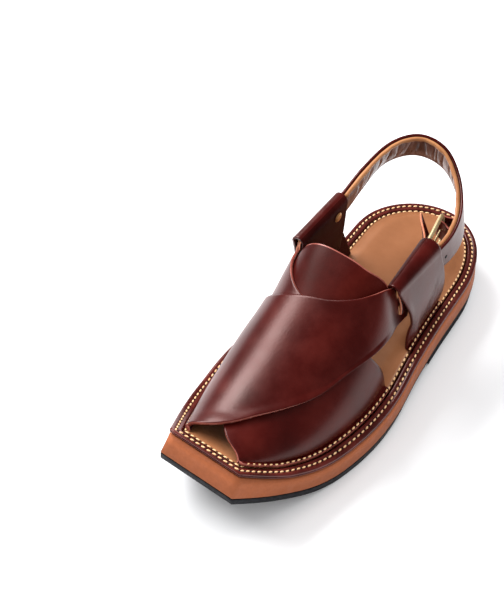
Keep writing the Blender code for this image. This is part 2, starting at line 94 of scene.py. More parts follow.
def value_at(rows: tuple[tuple[float, ...], ...], share: float, column: int) -> float:
    """Read one column of a table as a smooth curve through its rows.

    Args:
        rows: the table, its first column rising.
        share: where to read it.
        column: which column.

    Returns:
        The value there.
    """
    xs = [row[0] for row in rows]
    ys = [row[column] for row in rows]
    share = min(max(share, xs[0]), xs[-1])
    index = max(i for i in range(len(xs) - 1) if xs[i] <= share)
    slopes = []
    for i in (index, index + 1):
        low = max(i - 1, 0)
        high = min(i + 1, len(xs) - 1)
        slopes.append((ys[high] - ys[low]) / (xs[high] - xs[low]))
    step = xs[index + 1] - xs[index]
    t = (share - xs[index]) / step
    return (
        ys[index] * (1 + 2 * t) * (1 - t) ** 2
        + slopes[0] * step * t * (1 - t) ** 2
        + ys[index + 1] * t * t * (3 - 2 * t)
        + slopes[1] * step * t * t * (t - 1)
    )


# Finishes


class NodeBench:
    """A material's node tree, with short calls to add and join nodes."""

    def __init__(self, name: str) -> None:
        """Start a material with its Principled shader and Object coordinates.

        Args:
            name: the material's name.
        """
        self.material = bpy.data.materials.new(name)
        self.material.use_nodes = True
        self.tree = self.material.node_tree
        self.shader = self.tree.nodes["Principled BSDF"]
        self.place = self.tree.nodes.new("ShaderNodeTexCoord").outputs["Object"]

    def set(self, **values: float | tuple) -> None:
        """Set the shader's own sockets, named with underscores for spaces."""
        for name, value in values.items():
            self.shader.inputs[name.replace("_", " ")].default_value = value

    def join(self, output: Socket, socket: str) -> None:
        """Link an output to a socket of the shader."""
        self.tree.links.new(output, self.shader.inputs[socket])

    def node(self, kind: str, links: dict[str, Socket], **values: float | tuple) -> bpy.types.Node:
        """Add a node.

        Args:
            kind: its type.
            links: the outputs that feed its sockets.
            values: its other sockets' values, named with underscores for spaces.

        Returns:
            The node.
        """
        node = self.tree.nodes.new(kind)
        for name, value in values.items():
            node.inputs[name.replace("_", " ")].default_value = value
        for name, output in links.items():
            self.tree.links.new(output, node.inputs[name])
        return node

    def stretched(self, scale: Point) -> Socket:
        """Return the coordinates scaled."""
        return self.node("ShaderNodeMapping", {"Vector": self.place}, Scale=scale).outputs["Vector"]

    def noise(
        self, scale: float, detail: float = 3.0, roughness: float = 0.5,
        vector: Socket | None = None,
    ) -> Socket:
        """Add a noise.

        Args:
            scale: its scale per metre.
            detail: its octaves.
            roughness: how strong the finer octaves are.
            vector: its coordinates, if not the plain ones.

        Returns:
            Its factor.
        """
        links = {"Vector": vector or self.place}
        node = self.node(
            "ShaderNodeTexNoise", links, Scale=scale, Detail=detail, Roughness=roughness,
        )
        return node.outputs["Fac"]

    def cells(self, scale: float) -> Socket:
        """Return the distance to the nearest point of a scatter, for pebbled grain."""
        node = self.node("ShaderNodeTexVoronoi", {"Vector": self.place}, Scale=scale)
        return node.outputs["Distance"]

    def ramp(self, factor: Socket, stops: tuple[tuple[float, Colour], ...]) -> Socket:
        """Colour a factor.

        Args:
            factor: the factor.
            stops: place and colour of each stop.

        Returns:
            The colour.
        """
        node = self.node("ShaderNodeValToRGB", {"Fac": factor})
        points = node.color_ramp.elements
        while len(points) < len(stops):
            points.new(0.5)
        for point, (place, colour) in zip(points, stops):
            point.position = place
            point.color = (*colour, 1.0)
        return node.outputs["Color"]

    def span(self, factor: Socket, low: float, high: float) -> Socket:
        """Map a noise's usual range onto another.

        Args:
            factor: the noise.
            low: what 0.3 becomes.
            high: what 0.7 becomes.

        Returns:
            The mapped factor.
        """
        node = self.node(
            "ShaderNodeMapRange", {"Value": factor},
            From_Min=0.3, From_Max=0.7, To_Min=low, To_Max=high,
        )
        return node.outputs["Result"]

    def bump(
        self, height: Socket, depth: float, strength: float, under: Socket | None = None,
    ) -> Socket:
        """Bump the normals.

        Args:
            height: the height, from 0 to 1.
            depth: metres that a height of 1 stands for.
            strength: how strongly it shows.
            under: bumped normals below these.

        Returns:
            The normals.
        """
        links = {"Height": height} if under is None else {"Height": height, "Normal": under}
        node = self.node("ShaderNodeBump", links, Strength=strength, Distance=depth)
        return node.outputs["Normal"]


@dataclass(frozen=True)
class Leather:
    """Dyed leather: mottled colour, fine grain, soft creases and a polish."""

    name: str
    dark: Colour
    mid: Colour
    light: Colour
    polish: Span = (0.28, 0.36)
    coat: float = 0.12
    coat_roughness: float = 0.24
    shine: float = 0.40
    tint: Colour = (1.0, 0.66, 0.61)
    grain: float = 900.0
    grain_depth: float = 0.00007
    crease: float = 45.0
    crease_depth: float = 0.0002
    mottle: float = 22.0
    stretch: Point = (1.0, 1.0, 1.0)

    def material(self) -> Material:
        """Build the leather's nodes.

        Returns:
            The material.
        """
        bench = NodeBench(self.name)
        along = bench.stretched(self.stretch)
        patches = bench.noise(self.mottle, 5.0, 0.6, along)
        stops = ((0.32, self.dark), (0.5, self.mid), (0.72, self.light))
        bench.join(bench.ramp(patches, stops), "Base Color")
        wear = bench.noise(self.mottle * 4, 4.0, 0.6, along)
        bench.join(bench.span(wear, *self.polish), "Roughness")
        creases = bench.bump(bench.noise(self.crease, 3.0, 0.5, along), self.crease_depth, 0.5)
        pores = bench.bump(bench.cells(self.grain), self.grain_depth, 0.35, creases)
        fine = bench.bump(bench.noise(self.grain * 2.5, 2.0), self.grain_depth * 0.6, 0.4, pores)
        bench.join(fine, "Normal")
        bench.set(
            Coat_Weight=self.coat, Coat_Roughness=self.coat_roughness,
            Coat_Tint=(*self.tint, 1.0), Specular_IOR_Level=self.shine,
            Specular_Tint=(*self.tint, 1.0),
        )
        return bench.material


@dataclass(frozen=True)
class Plain:
    """A matt or metallic stuff with speckle and a fine tooth."""

    name: str
    dark: Colour
    light: Colour
    roughness: Span
    speckle: float = 400.0
    tooth: float = 1500.0
    tooth_depth: float = 0.00008
    metallic: float = 0.0
    shine: float = 0.5

    def material(self) -> Material:
        """Build the stuff's nodes.

        Returns:
            The material.
        """
        bench = NodeBench(self.name)
        specks = bench.noise(self.speckle, 4.0, 0.65)
        bench.join(bench.ramp(specks, ((0.35, self.dark), (0.65, self.light))), "Base Color")
        bench.join(bench.span(bench.noise(self.speckle * 0.4), *self.roughness), "Roughness")
        bench.join(bench.bump(bench.noise(self.tooth), self.tooth_depth, 0.5), "Normal")
        bench.set(Metallic=self.metallic, Specular_IOR_Level=self.shine)
        return bench.material


@dataclass(frozen=True)
class Finishes:
    """Every finish on the shoe, each made once."""

    brown: Material = field(default_factory=Leather(
        "brown_leather", (0.028, 0.0016, 0.0012), (0.048, 0.0026, 0.0019), (0.084, 0.0068, 0.0044),
    ).material)
    shield: Material = field(default_factory=Leather(
        "shield_leather", (0.030, 0.0016, 0.0010), (0.052, 0.0030, 0.0018),
        (0.086, 0.0074, 0.0042), polish=(0.38, 0.48), coat=0.0, shine=0.14,
    ).material)
    # Matt leather for faces turned towards the foot, darker than the outer brown: the darker tone
    # is painted shade.
    inner: Material = field(default_factory=Leather(
        "inner_leather_painted_shade", (0.018, 0.0016, 0.0012), (0.032, 0.0030, 0.0022), (0.055, 0.0065, 0.0045),
        polish=(0.42, 0.54), coat=0.0, shine=0.06,
    ).material)
    # Lighter red-brown for rims and lips: painted highlight on the leather's rounded edges, not the
    # leather's own colour.
    edge: Material = field(default_factory=Leather(
        "edge_painted_highlight", (0.18, 0.042, 0.030), (0.28, 0.082, 0.062), (0.38, 0.135, 0.108),
        polish=(0.22, 0.32), coat=0.3, mottle=60.0, grain_depth=0.00002, crease_depth=0.00004,
    ).material)
    welt: Material = field(default_factory=Leather(
        "welt_leather", (0.045, 0.007, 0.006), (0.075, 0.011, 0.009), (0.12, 0.020, 0.015),
        polish=(0.25, 0.36), coat=0.25, mottle=60.0,
    ).material)
    tan: Material = field(default_factory=Leather(
        "tan_leather", (0.225, 0.083, 0.032), (0.290, 0.110, 0.044), (0.370, 0.152, 0.066),
        polish=(0.38, 0.50), coat=0.08, mottle=14.0, tint=(1.0, 0.9, 0.8),
    ).material)
    piping: Material = field(default_factory=Leather(
        "tan_piping", (0.27, 0.108, 0.040), (0.37, 0.158, 0.062), (0.47, 0.220, 0.090),
        polish=(0.36, 0.48), coat=0.1, mottle=40.0,
    ).material)
    # Brown lining mottled in upright streaks; its pale pinkish-grey streaks are painted sheen over
    # the leather's own brown.
    wrinkled: Material = field(default_factory=Leather(
        "wrinkled_lining_painted_sheen", (0.060, 0.022, 0.015), (0.135, 0.060, 0.042), (0.30, 0.19, 0.16),
        polish=(0.26, 0.42), coat=0.2, crease=190.0, crease_depth=0.0018, mottle=170.0,
        tint=(1.0, 0.9, 0.88), stretch=(1.0, 1.0, 0.3),
    ).material)
    raw_edge: Material = field(default_factory=Plain(
        "raw_edge", (0.52, 0.15, 0.075), (0.72, 0.27, 0.15), (0.6, 0.8), 500.0,
    ).material)
    foam: Material = field(default_factory=Plain(
        "tan_foam", (0.35, 0.098, 0.034), (0.40, 0.114, 0.041), (0.58, 0.7), 420.0, shine=0.22,
    ).material)
    rubber: Material = field(default_factory=Plain(
        "black_rubber", (0.004, 0.004, 0.006), (0.009, 0.009, 0.013), (0.5, 0.65), 700.0,
        shine=0.12,
    ).material)
    brass: Material = field(default_factory=Plain(
        "aged_brass", (0.50, 0.36, 0.18), (0.72, 0.56, 0.32), (0.34, 0.46), 160.0,
        metallic=0.7, tooth_depth=0.00002,
    ).material)
    copper: Material = field(default_factory=Plain(
        "rivet_brass", (0.46, 0.21, 0.07), (0.66, 0.34, 0.13), (0.32, 0.44), 300.0,
        metallic=0.6, tooth_depth=0.00002,
    ).material)
    thread: Material = field(default_factory=Plain(
        "waxed_thread", (0.78, 0.42, 0.18), (0.98, 0.70, 0.39), (0.45, 0.6), 900.0, tooth=4000.0,
    ).material)
    # Near-black for the marks that stand for stitch holes and the strap's punched hole: painted
    # shade of holes that are not cut.
    hole: Material = field(default_factory=Plain(
        "painted_hole_shade", (0.010, 0.005, 0.004), (0.016, 0.008, 0.006), (0.8, 0.9),
    ).material)


# Mesh helpers


def loft(loops: list[list[Vector]], caps: bool = False) -> bmesh.types.BMesh:
    """Extrude a closed loop through the loops that follow it.

    Args:
        loops: loops with equal numbers of points, each closed on itself.
        caps: whether the first and last loops get a face.

    Returns:
        The bmesh, its doubles merged.
    """
    bm = bmesh.new()
    order = bm.verts.layers.int.new("order")
    start = bmesh.ops.create_circle(bm, cap_ends=caps, segments=len(loops[0]), radius=1.0)["verts"]
    for index, vertex in enumerate(start):
        vertex[order] = index
        vertex.co = loops[0][index]
    edges = bm.edges[:]
    for loop in loops[1:]:
        made = bmesh.ops.extrude_edge_only(bm, edges=edges)["geom"]
        fresh = {item for item in made if isinstance(item, bmesh.types.BMVert)}
        edges = [
            item for item in made
            if isinstance(item, bmesh.types.BMEdge) and set(item.verts) <= fresh
        ]
        for vertex in fresh:
            vertex.co = loop[vertex[order]]
    if caps:
        bmesh.ops.contextual_create(bm, geom=edges)
    bmesh.ops.remove_doubles(bm, verts=bm.verts, dist=MERGE)
    bmesh.ops.recalc_face_normals(bm, faces=bm.faces)
    return bm


def sheet(rows: int, columns: int, place: Surface, lip: float = 1.0) -> bmesh.types.BMesh:
    """Lay a grid over a surface.

    Args:
        rows: steps of the first parameter.
        columns: steps of the second.
        place: the surface, from two parameters of 0 to 1.
        lip: value of the first parameter past which faces take the edge's finish.

    Returns:
        The bmesh.
    """
    bm = bmesh.new()
    bmesh.ops.create_grid(bm, x_segments=rows, y_segments=columns, size=0.5)
    for face in bm.faces:
        if face.calc_center_median().x + 0.5 > lip:
            face.material_index = LeatherFace.OTHER.value
    for vertex in bm.verts:
        vertex.co = place(vertex.co.x + 0.5, vertex.co.y + 0.5)
    return bm


def outward(
    bm: bmesh.types.BMesh, centre: Point = (0.0, 0.0, 0.0), axes: Point = (1.0, 0.0, 1.0),
) -> None:
    """Turn an open sheet so that its faces look away from a point.

    Args:
        bm: the sheet.
        centre: the point.
        axes: how much each axis counts. Without Y, the point stands for a line along Y.
    """
    bm.normal_update()
    score = 0.0
    for face in bm.faces:
        away = (face.calc_center_median() - Vector(centre)) * Vector(axes)
        score += face.normal.dot(away) * face.calc_area()
    if score < 0:
        bmesh.ops.reverse_faces(bm, faces=bm.faces)


def settle(
    name: str, bm: bmesh.types.BMesh, materials: list[Material], slot: str, *nodes: str,
) -> bpy.types.Object:
    """Make a finished piece of a bmesh.

    Args:
        name: the piece's name.
        bm: its mesh, in place.
        materials: its materials, by material index.
        slot: not used.
        nodes: the CAD nodes that it stands for.

    Returns:
        The object, riding on the shoe.
    """
    mesh = bpy.data.meshes.new(name)
    bm.to_mesh(mesh)
    bm.free()
    mesh.shade_smooth()
    for material in materials:
        mesh.materials.append(material)
    piece = bpy.data.objects.new(name, mesh)
    bpy.context.scene.collection.objects.link(piece)
    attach(piece, BODY)
    if nodes:
        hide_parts(*nodes)
    LOG.info("%s: %d faces", name, len(mesh.polygons))
    return piece


def thicken(
    piece: bpy.types.Object, wall: float, crease: float = 0.55,
    rim: LeatherFace = LeatherFace.OTHER, inside: LeatherFace = LeatherFace.GRAIN,
) -> None:
    """Give a sheet its wall on the side that its faces look to, and round it.

    Args:
        piece: the sheet.
        wall: the wall's thickness.
        crease: how sharp the wall's edges stay.
        rim: whose finish the rim takes.
        inside: whose finish the inner face takes.
    """
    solid = piece.modifiers.new("wall", "SOLIDIFY")
    solid.thickness = wall
    solid.offset = 1.0
    solid.use_even_offset = False
    solid.material_offset = inside.value
    solid.material_offset_rim = rim.value
    solid.edge_crease_outer = crease
    solid.edge_crease_inner = crease
    smooth = piece.modifiers.new("smooth", "SUBSURF")
    smooth.levels = 1
    smooth.render_levels = 1


# Forms that the pieces share


class WidthRow(NamedTuple):
    """Half widths of the sole's edge, as shares of the ball's width."""

    share: float
    lateral: float
    medial: float


class FootRow(NamedTuple):
    """Form of the foot at a place along the sole, as in the solids."""

    share: float
    height: float
    fullness: float
    lean: float
    reach: float


class EdgePoint(NamedTuple):
    """Point of the sole's edge: its place in plan, and as a share of the length."""

    x: float
    y: float
    place: float


@dataclass
class SoleForm:
    """Outline and heights of the sole."""

    ball_width: float = 0.110
    toe_spring: float = 0.0270
    toe_rake: float = 0.0062
    forefoot_rubber: float = 0.0055
    waist_rubber: float = 0.0016
    heel_rise: float = 0.0105
    midsole_height: float = 0.0130
    draft: float = 0.0014
    welt_width: float = 0.0070
    welt_height: float = 0.0046
    insole_height: float = 0.0042
    clearance: float = 0.0003
    flange: float = 0.0045
    front_tread: float = 0.24
    rear_tread: float = 0.36
    breast: float = 0.625
    arc: float = 0.80
    arc_start: float = 0.74
    rake_end: float = 0.12
    taper_end: float = 0.50
    spring_power: float = 1.6
    roundness: float = 2.2
    side_steps: int = 110
    front_steps: int = 14
    widths: tuple[WidthRow, ...] = tuple(WidthRow(*row) for row in (
        (0.000, 0.238, 0.247), (0.090, 0.365, 0.338), (0.190, 0.480, 0.418),
        (0.310, 0.550, 0.460), (0.430, 0.555, 0.446), (0.550, 0.505, 0.418),
        (0.670, 0.462, 0.411), (0.780, 0.432, 0.430), (0.880, 0.402, 0.448),
        (1.000, 0.385, 0.440),
    ))

    def __post_init__(self) -> None:
        """Read the sole's length from the frame."""
        low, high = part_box("outsole")
        self.length = high.y - low.y
        self.heel_back = high.y

    def y_at(self, share: float) -> float:
        """Return the place along Y of a share of the sole's length."""
        return self.heel_back - self.length * (1 - share)

    def share_at(self, y: float) -> float:
        """Return the share of the sole's length at a place along Y."""
        return 1 - (self.heel_back - y) / self.length

    def toe_part(self, share: float) -> float:
        """Return 1 at the toe, fading to 0 where its rake ends."""
        return max(1 - share / self.rake_end, 0.0)

    def rubber_top(self, share: float) -> float:
        """Return the height of the outsole's upper face.

        Args:
            share: place along the sole.

        Returns:
            The height.
        """
        spring = self.toe_spring * max(1 - share / self.front_tread, 0.0) ** self.spring_power
        rise = (self.heel_rise - self.forefoot_rubber) * ease(self.rear_tread, self.breast, share)
        return self.forefoot_rubber + spring + rise

    def rubber_bottom(self, share: float) -> float:
        """Return the height of the outsole's lower face.

        Args:
            share: place along the sole.

        Returns:
            The height.
        """
        thinning = ease(self.rear_tread, self.taper_end, share)
        thin = (self.forefoot_rubber - self.waist_rubber) * thinning
        return self.rubber_top(share) - self.forefoot_rubber + thin

    def midsole_top(self, share: float) -> float:
        """Return the height of the midsole's upper face."""
        return self.rubber_top(share) + self.clearance + self.midsole_height

    def footbed(self, share: float) -> float:
        """Return the height of the insole's rim."""
        return self.midsole_top(share) + self.clearance + self.insole_height

    def half_width(self, share: float, side: int) -> float:
        """Return the half width of the sole's edge.

        Args:
            share: place along the sole.
            side: sign of the side's x.

        Returns:
            The half width.
        """
        width = self.ball_width * value_at(self.widths, share, 1 if side > 0 else 2)
        t = min(max((share - self.arc) / (1 - self.arc), 0.0), 1.0)
        return width * math.sqrt(max(1 - t ** self.roundness, 0.0))

    def edge(self, side: int, u: float) -> Vector:
        """Return a point of the edge in plan.

        Args:
            side: sign of the side's x.
            u: 0 at the toe to 1 at the heel's tip.

        Returns:
            The point.
        """
        if u < self.arc_start:
            share = self.arc * u / self.arc_start
        else:
            turn = 0.5 * math.pi * (u - self.arc_start) / (1 - self.arc_start)
            share = self.arc + (1 - self.arc) * math.sin(turn)
        return Vector((side * self.half_width(share, side), self.y_at(share)))

    def inset_edge(self, side: int, u: float, inset: float) -> Vector:
        """Return a point of the edge moved in.

        Args:
            side: sign of the side's x.
            u: 0 at the toe to 1 at the heel's tip.
            inset: how far it moves in.

        Returns:
            The point.
        """
        step = 1e-4
        run = self.edge(side, min(u + step, 1.0)) - self.edge(side, max(u - step, 0.0))
        run.normalize()
        return self.edge(side, u) + side * inset * Vector((-run.y, run.x))

    def first_u(self, side: int, inset: float, start: float) -> float:
        """Find where an inset side meets the front edge, moved in as far.

        Args:
            side: sign of the side's x.
            inset: how far both move in.
            start: the front edge's place along the sole.

        Returns:
            The u of that corner.
        """
        front = self.y_at(start) + inset
        low, high = 0.0, 0.9
        for _ in range(40):
            middle = (low + high) / 2
            if self.inset_edge(side, middle, inset).y < front:
                low = middle
            else:
                high = middle
        return high

    def chain(self, side: int, inset: float, start: float, rake: float) -> list[EdgePoint]:
        """Return one side's points.

        Args:
            side: sign of the side's x.
            inset: distance in from the sole's edge.
            start: where the side starts, as a share of the length.
            rake: how far the front leans back.

        Returns:
            The points, front corner first, up to the heel's tip.
        """
        first = self.first_u(side, inset, start)
        points = []
        for i in range(self.side_steps):
            x, y = self.inset_edge(side, mix(first, 1.0, i / self.side_steps), inset)
            place = self.share_at(y)
            fade = max(1 - (place - start) / self.rake_end, 0.0)
            points.append(EdgePoint(x, y + rake * fade, place))
        return points + [EdgePoint(0.0, self.heel_back - inset, 1.0)]

    def ring(self, inset: float, height: Height) -> list[Vector]:
        """Return a closed loop round the sole, its front raked as the midsole's.

        Args:
            inset: distance in from the sole's edge.
            height: its height at a place along the sole.

        Returns:
            The loop, from the lateral front corner over the heel and back along the front.
        """
        lateral = self.chain(1, inset, 0.0, self.toe_rake)
        medial = self.chain(-1, inset, 0.0, self.toe_rake)
        points = lateral + medial[-2::-1]
        for i in range(1, self.front_steps):
            k = i / self.front_steps
            points.append(EdgePoint(*(mix(a, b, k) for a, b in zip(medial[0], lateral[0]))))
        return [Vector((x, y, height(place))) for x, y, place in points]

    def slab(
        self, layers: list[tuple[float, float, Height]], start: float = 0.0, columns: int = 12,
        relief: Callable[[float, float], float] | None = None, edged: tuple[int, ...] = (),
    ) -> bmesh.types.BMesh:
        """Extrude a sole-shaped grid through layers.

        Args:
            layers: (inset, rake, height function) of each layer, from the bottom up.
            start: where the slab starts, as a share of the length.
            columns: cells across it.
            relief: height added to the last layer, from place and distance inside.
            edged: numbers of the layers whose wall, from the layer before, takes the edge's finish.

        Returns:
            The closed solid.
        """
        bm = bmesh.new()
        row = bm.verts.layers.int.new("row")
        column = bm.verts.layers.int.new("column")
        steps = self.side_steps
        bmesh.ops.create_grid(bm, x_segments=columns, y_segments=steps, size=0.5)
        for vertex in bm.verts:
            vertex[column] = round((vertex.co.x + 0.5) * columns)
            vertex[row] = round((vertex.co.y + 0.5) * steps)
        region = bm.faces[:]
        for number, (inset, rake, height) in enumerate(layers):
            if number:
                known = set(bm.faces)
                made = bmesh.ops.extrude_face_region(
                    bm, geom=region, use_keep_orig=(number == 1)
                )["geom"]
                region = [item for item in made if isinstance(item, bmesh.types.BMFace)]
                if number in edged:
                    for face in set(bm.faces) - known - set(region):
                        face.material_index = LeatherFace.OTHER.value
            lateral = self.chain(1, inset, start, rake)
            medial = self.chain(-1, inset, start, rake)
            for vertex in {v for face in region for v in face.verts}:
                k = vertex[column] / columns
                ends = (medial[vertex[row]], lateral[vertex[row]])
                x, y, place = (mix(a, b, k) for a, b in zip(*ends))
                z = height(place)
                if relief and number == len(layers) - 1:
                    half = (ends[1].x - ends[0].x) / 2
                    z += relief(place, half * (1 - abs(2 * k - 1)))
                vertex.co = Vector((x, y, z))
        bmesh.ops.remove_doubles(bm, verts=bm.verts, dist=MERGE)
        bmesh.ops.recalc_face_normals(bm, faces=bm.faces)
        return bm


@dataclass
class FootForm:
    """The space that the leather goes round, as in the solids."""

    sole: SoleForm
    instep: float = 0.080
    toe_gap: float = 0.0012
    rows: tuple[FootRow, ...] = tuple(FootRow(*row) for row in (
        (0.00, 0.03, 2.0, 0.00, 1.00), (0.05, 0.07, 2.0, 0.00, 1.00),
        (0.10, 0.17, 2.0, 0.00, 1.00), (0.20, 0.34, 2.1, 0.04, 1.00),
        (0.30, 0.53, 2.2, 0.08, 1.00), (0.40, 0.76, 2.4, 0.13, 1.00),
        (0.50, 0.97, 3.1, 0.22, 0.95), (0.60, 1.05, 3.4, 0.24, 0.90),
    ))

    def base(self, share: float, side: int, out: float = 0.0) -> Vector:
        """Return where the leather turns up from the footbed, or a point out on its flange.

        Args:
            share: place along the sole.
            side: sign of the side's x.
            out: distance out on the flange.

        Returns:
            The point.
        """
        sole = self.sole
        inset = sole.draft + sole.welt_width + 2 * sole.clearance + sole.flange - out
        step = 0.01
        widening = sole.half_width(share + step, side) - sole.half_width(share - step, side)
        slope = widening / (2 * step * sole.length)
        x = side * (sole.half_width(share, side) - inset * math.hypot(1.0, slope))
        near_toe = sole.toe_part(share)
        z = sole.footbed(share) + sole.clearance + self.toe_gap * near_toe
        return Vector((x, sole.y_at(share) + sole.toe_rake * near_toe, z))

    def point(self, share: float, over: float, lift: float = 0.0) -> Vector:
        """Return a point of the form.

        Args:
            share: place along the sole.
            over: 0 at the lateral base to 1 at the medial one.
            lift: distance outside the form.

        Returns:
            The point.
        """
        lateral = self.base(share, 1)
        medial = self.base(share, -1)
        middle = (lateral + medial) / 2
        reach = (lateral.x - medial.x) / 2
        height = self.instep * value_at(self.rows, share, 1)
        power = 2 / value_at(self.rows, share, 2)
        lean = value_at(self.rows, share, 3)
        angle = math.pi * over
        across = math.copysign(abs(math.cos(angle)) ** power, math.cos(angle))
        up = max(math.sin(angle), 0.0) ** power
        if across > 0:
            across *= value_at(self.rows, share, 4)
        x = middle.x + reach * (across - lean * up) + lift * across
        return Vector((x, middle.y, middle.z + (height + lift) * up))


# The sole


class SectionRow(NamedTuple):
    """Corner of a rim's section: inset from the rim's edge, and level."""

    inset: float
    level: float


def raised(height: Height, lift: float) -> Height:
    """Return a height function moved up by a lift."""
    return lambda share: height(share) + lift


@dataclass
class Sole:
    """Rubber, foam, welt and footbed.

    The levels of welt_rows are shares of the welt's height. Those of footbed_rows are metres
    above the insole's rim.
    """

    form: SoleForm
    finishes: Finishes
    rubber_ease: float = 0.0005
    heel_inset: float = 0.0004
    heel_ease: float = 0.0009
    foam_inset: float = 0.0004
    foam_ease: float = 0.0006
    pad: float = 0.0016
    pad_edge: Span = (0.0010, 0.0080)
    pad_front: Span = (0.03, 0.09)
    pad_rear: Span = (0.93, 0.985)
    pad_columns: int = 40
    # Walls of the footbed's rim that take the welt's dark finish: edge ink, and painted shade in
    # the recess beside the welt.
    ink_and_shade_walls: tuple[int, ...] = (1, 2)
    welt_rows: tuple[SectionRow, ...] = tuple(SectionRow(*row) for row in (
        (0.0013, 0.00), (0.0013, 0.26), (0.0004, 0.28), (0.0000, 0.34), (0.0000, 0.46),
        (0.0003, 0.51), (0.0011, 0.55), (0.0003, 0.59), (0.0000, 0.65), (0.0000, 0.82),
        (0.0003, 0.94), (0.0010, 1.02), (0.0020, 1.02), (0.0027, 0.95), (0.0032, 0.90),
        (0.0041, 0.90), (0.0046, 0.95), (0.0054, 0.99), (0.0062, 0.98), (0.0067, 0.90),
        (0.0070, 0.74), (0.0070, 0.00), (0.0013, 0.00),
    ))
    footbed_rows: tuple[SectionRow, ...] = tuple(SectionRow(*row) for row in (
        (0.0000, -0.0042), (0.0000, -0.0012), (0.0005, -0.0002), (0.0007, 0.0000),
        (0.0009, -0.0006), (0.0020, -0.0006), (0.0023, 0.0000), (0.0029, 0.0001),
    ))

    def build(self) -> None:
        """Build every layer of the sole."""
        self.outsole()
        self.heel_block()
        self.midsole()
        self.welt()
        self.insole()

    def outsole(self) -> None:
        """Build the rubber sheet, its edges eased."""
        form = self.form
        size = self.rubber_ease
        bm = form.slab([
            (size, 0.0, form.rubber_bottom),
            (0.0, 0.0, raised(form.rubber_bottom, size)),
            (0.0, 0.0, raised(form.rubber_top, -size / 2)),
            (size, 0.0, form.rubber_top),
        ])
        settle("outsole_rubber", bm, [self.finishes.rubber], "black_rubber", "outsole")

    def heel_block(self) -> None:
        """Build the rubber block under the heel."""
        form = self.form
        top = form.rubber_bottom(1.0) - form.clearance
        layers = [
            (self.heel_inset + self.heel_ease, 0.0, lambda share: 0.0),
            (self.heel_inset, 0.0, lambda share: self.heel_ease),
            (self.heel_inset, 0.0, lambda share: top),
        ]
        bm = form.slab(layers, start=form.breast)
        settle("heel_rubber", bm, [self.finishes.rubber], "black_rubber", "heel_block")

    def midsole(self) -> None:
        """Build the foam wedge with its raked, squared toe."""
        form = self.form
        foot = form.clearance
        half = raised(form.rubber_top, foot + form.midsole_height / 2)
        bm = form.slab([
            (self.foam_inset, 0.0, raised(form.rubber_top, foot)),
            (0.0, 0.0, raised(form.rubber_top, foot + self.foam_ease)),
            (form.draft * 0.5, form.toe_rake * 0.5, half),
            (form.draft, form.toe_rake, form.midsole_top),
        ])
        settle("foam_midsole", bm, [self.finishes.foam], "tan_foam", "midsole")

    def welt(self) -> None:
        """Build the rim, two ridges over a recess, with a groove for its stitches."""
        form = self.form
        loops = []
        for inset, level in self.welt_rows:
            lift = form.clearance + form.welt_height * level
            loops.append(form.ring(form.draft + inset, raised(form.midsole_top, lift)))
        settle("welt_rim", loft(loops), [self.finishes.welt], "brown_leather", "welt")

    def insole(self) -> None:
        """Build the padded leather footbed."""
        form = self.form
        edge = form.draft + form.welt_width + form.clearance

        def relief(place: float, inside: float) -> float:
            """Return the pad's height at a distance inside the rim."""
            swell = ease(*self.pad_edge, inside) * ease(*self.pad_front, place)
            return self.pad * swell * (1 - ease(*self.pad_rear, place))

        layers = [
            (edge + inset, form.toe_rake, raised(form.footbed, level))
            for inset, level in self.footbed_rows
        ]
        # The rim's outer wall and bevel take the dark welt finish: edge ink, and painted shade of
        # the recess by the welt.
        bm = form.slab(layers, columns=self.pad_columns, relief=relief, edged=self.ink_and_shade_walls)
        materials = [self.finishes.tan, self.finishes.welt]
        piece = settle("padded_footbed", bm, materials, "tan_leather", "insole")


# The upper


class PanelRow(NamedTuple):
    """Ends of one line across a panel: place along the sole and place over the foot."""

    front_share: float
    front_over: float
    rear_share: float
    rear_over: float


class TongueRow(NamedTuple):
    """Half widths of the tongue over the foot at a place along the sole."""

    share: float
    lateral: float
    medial: float


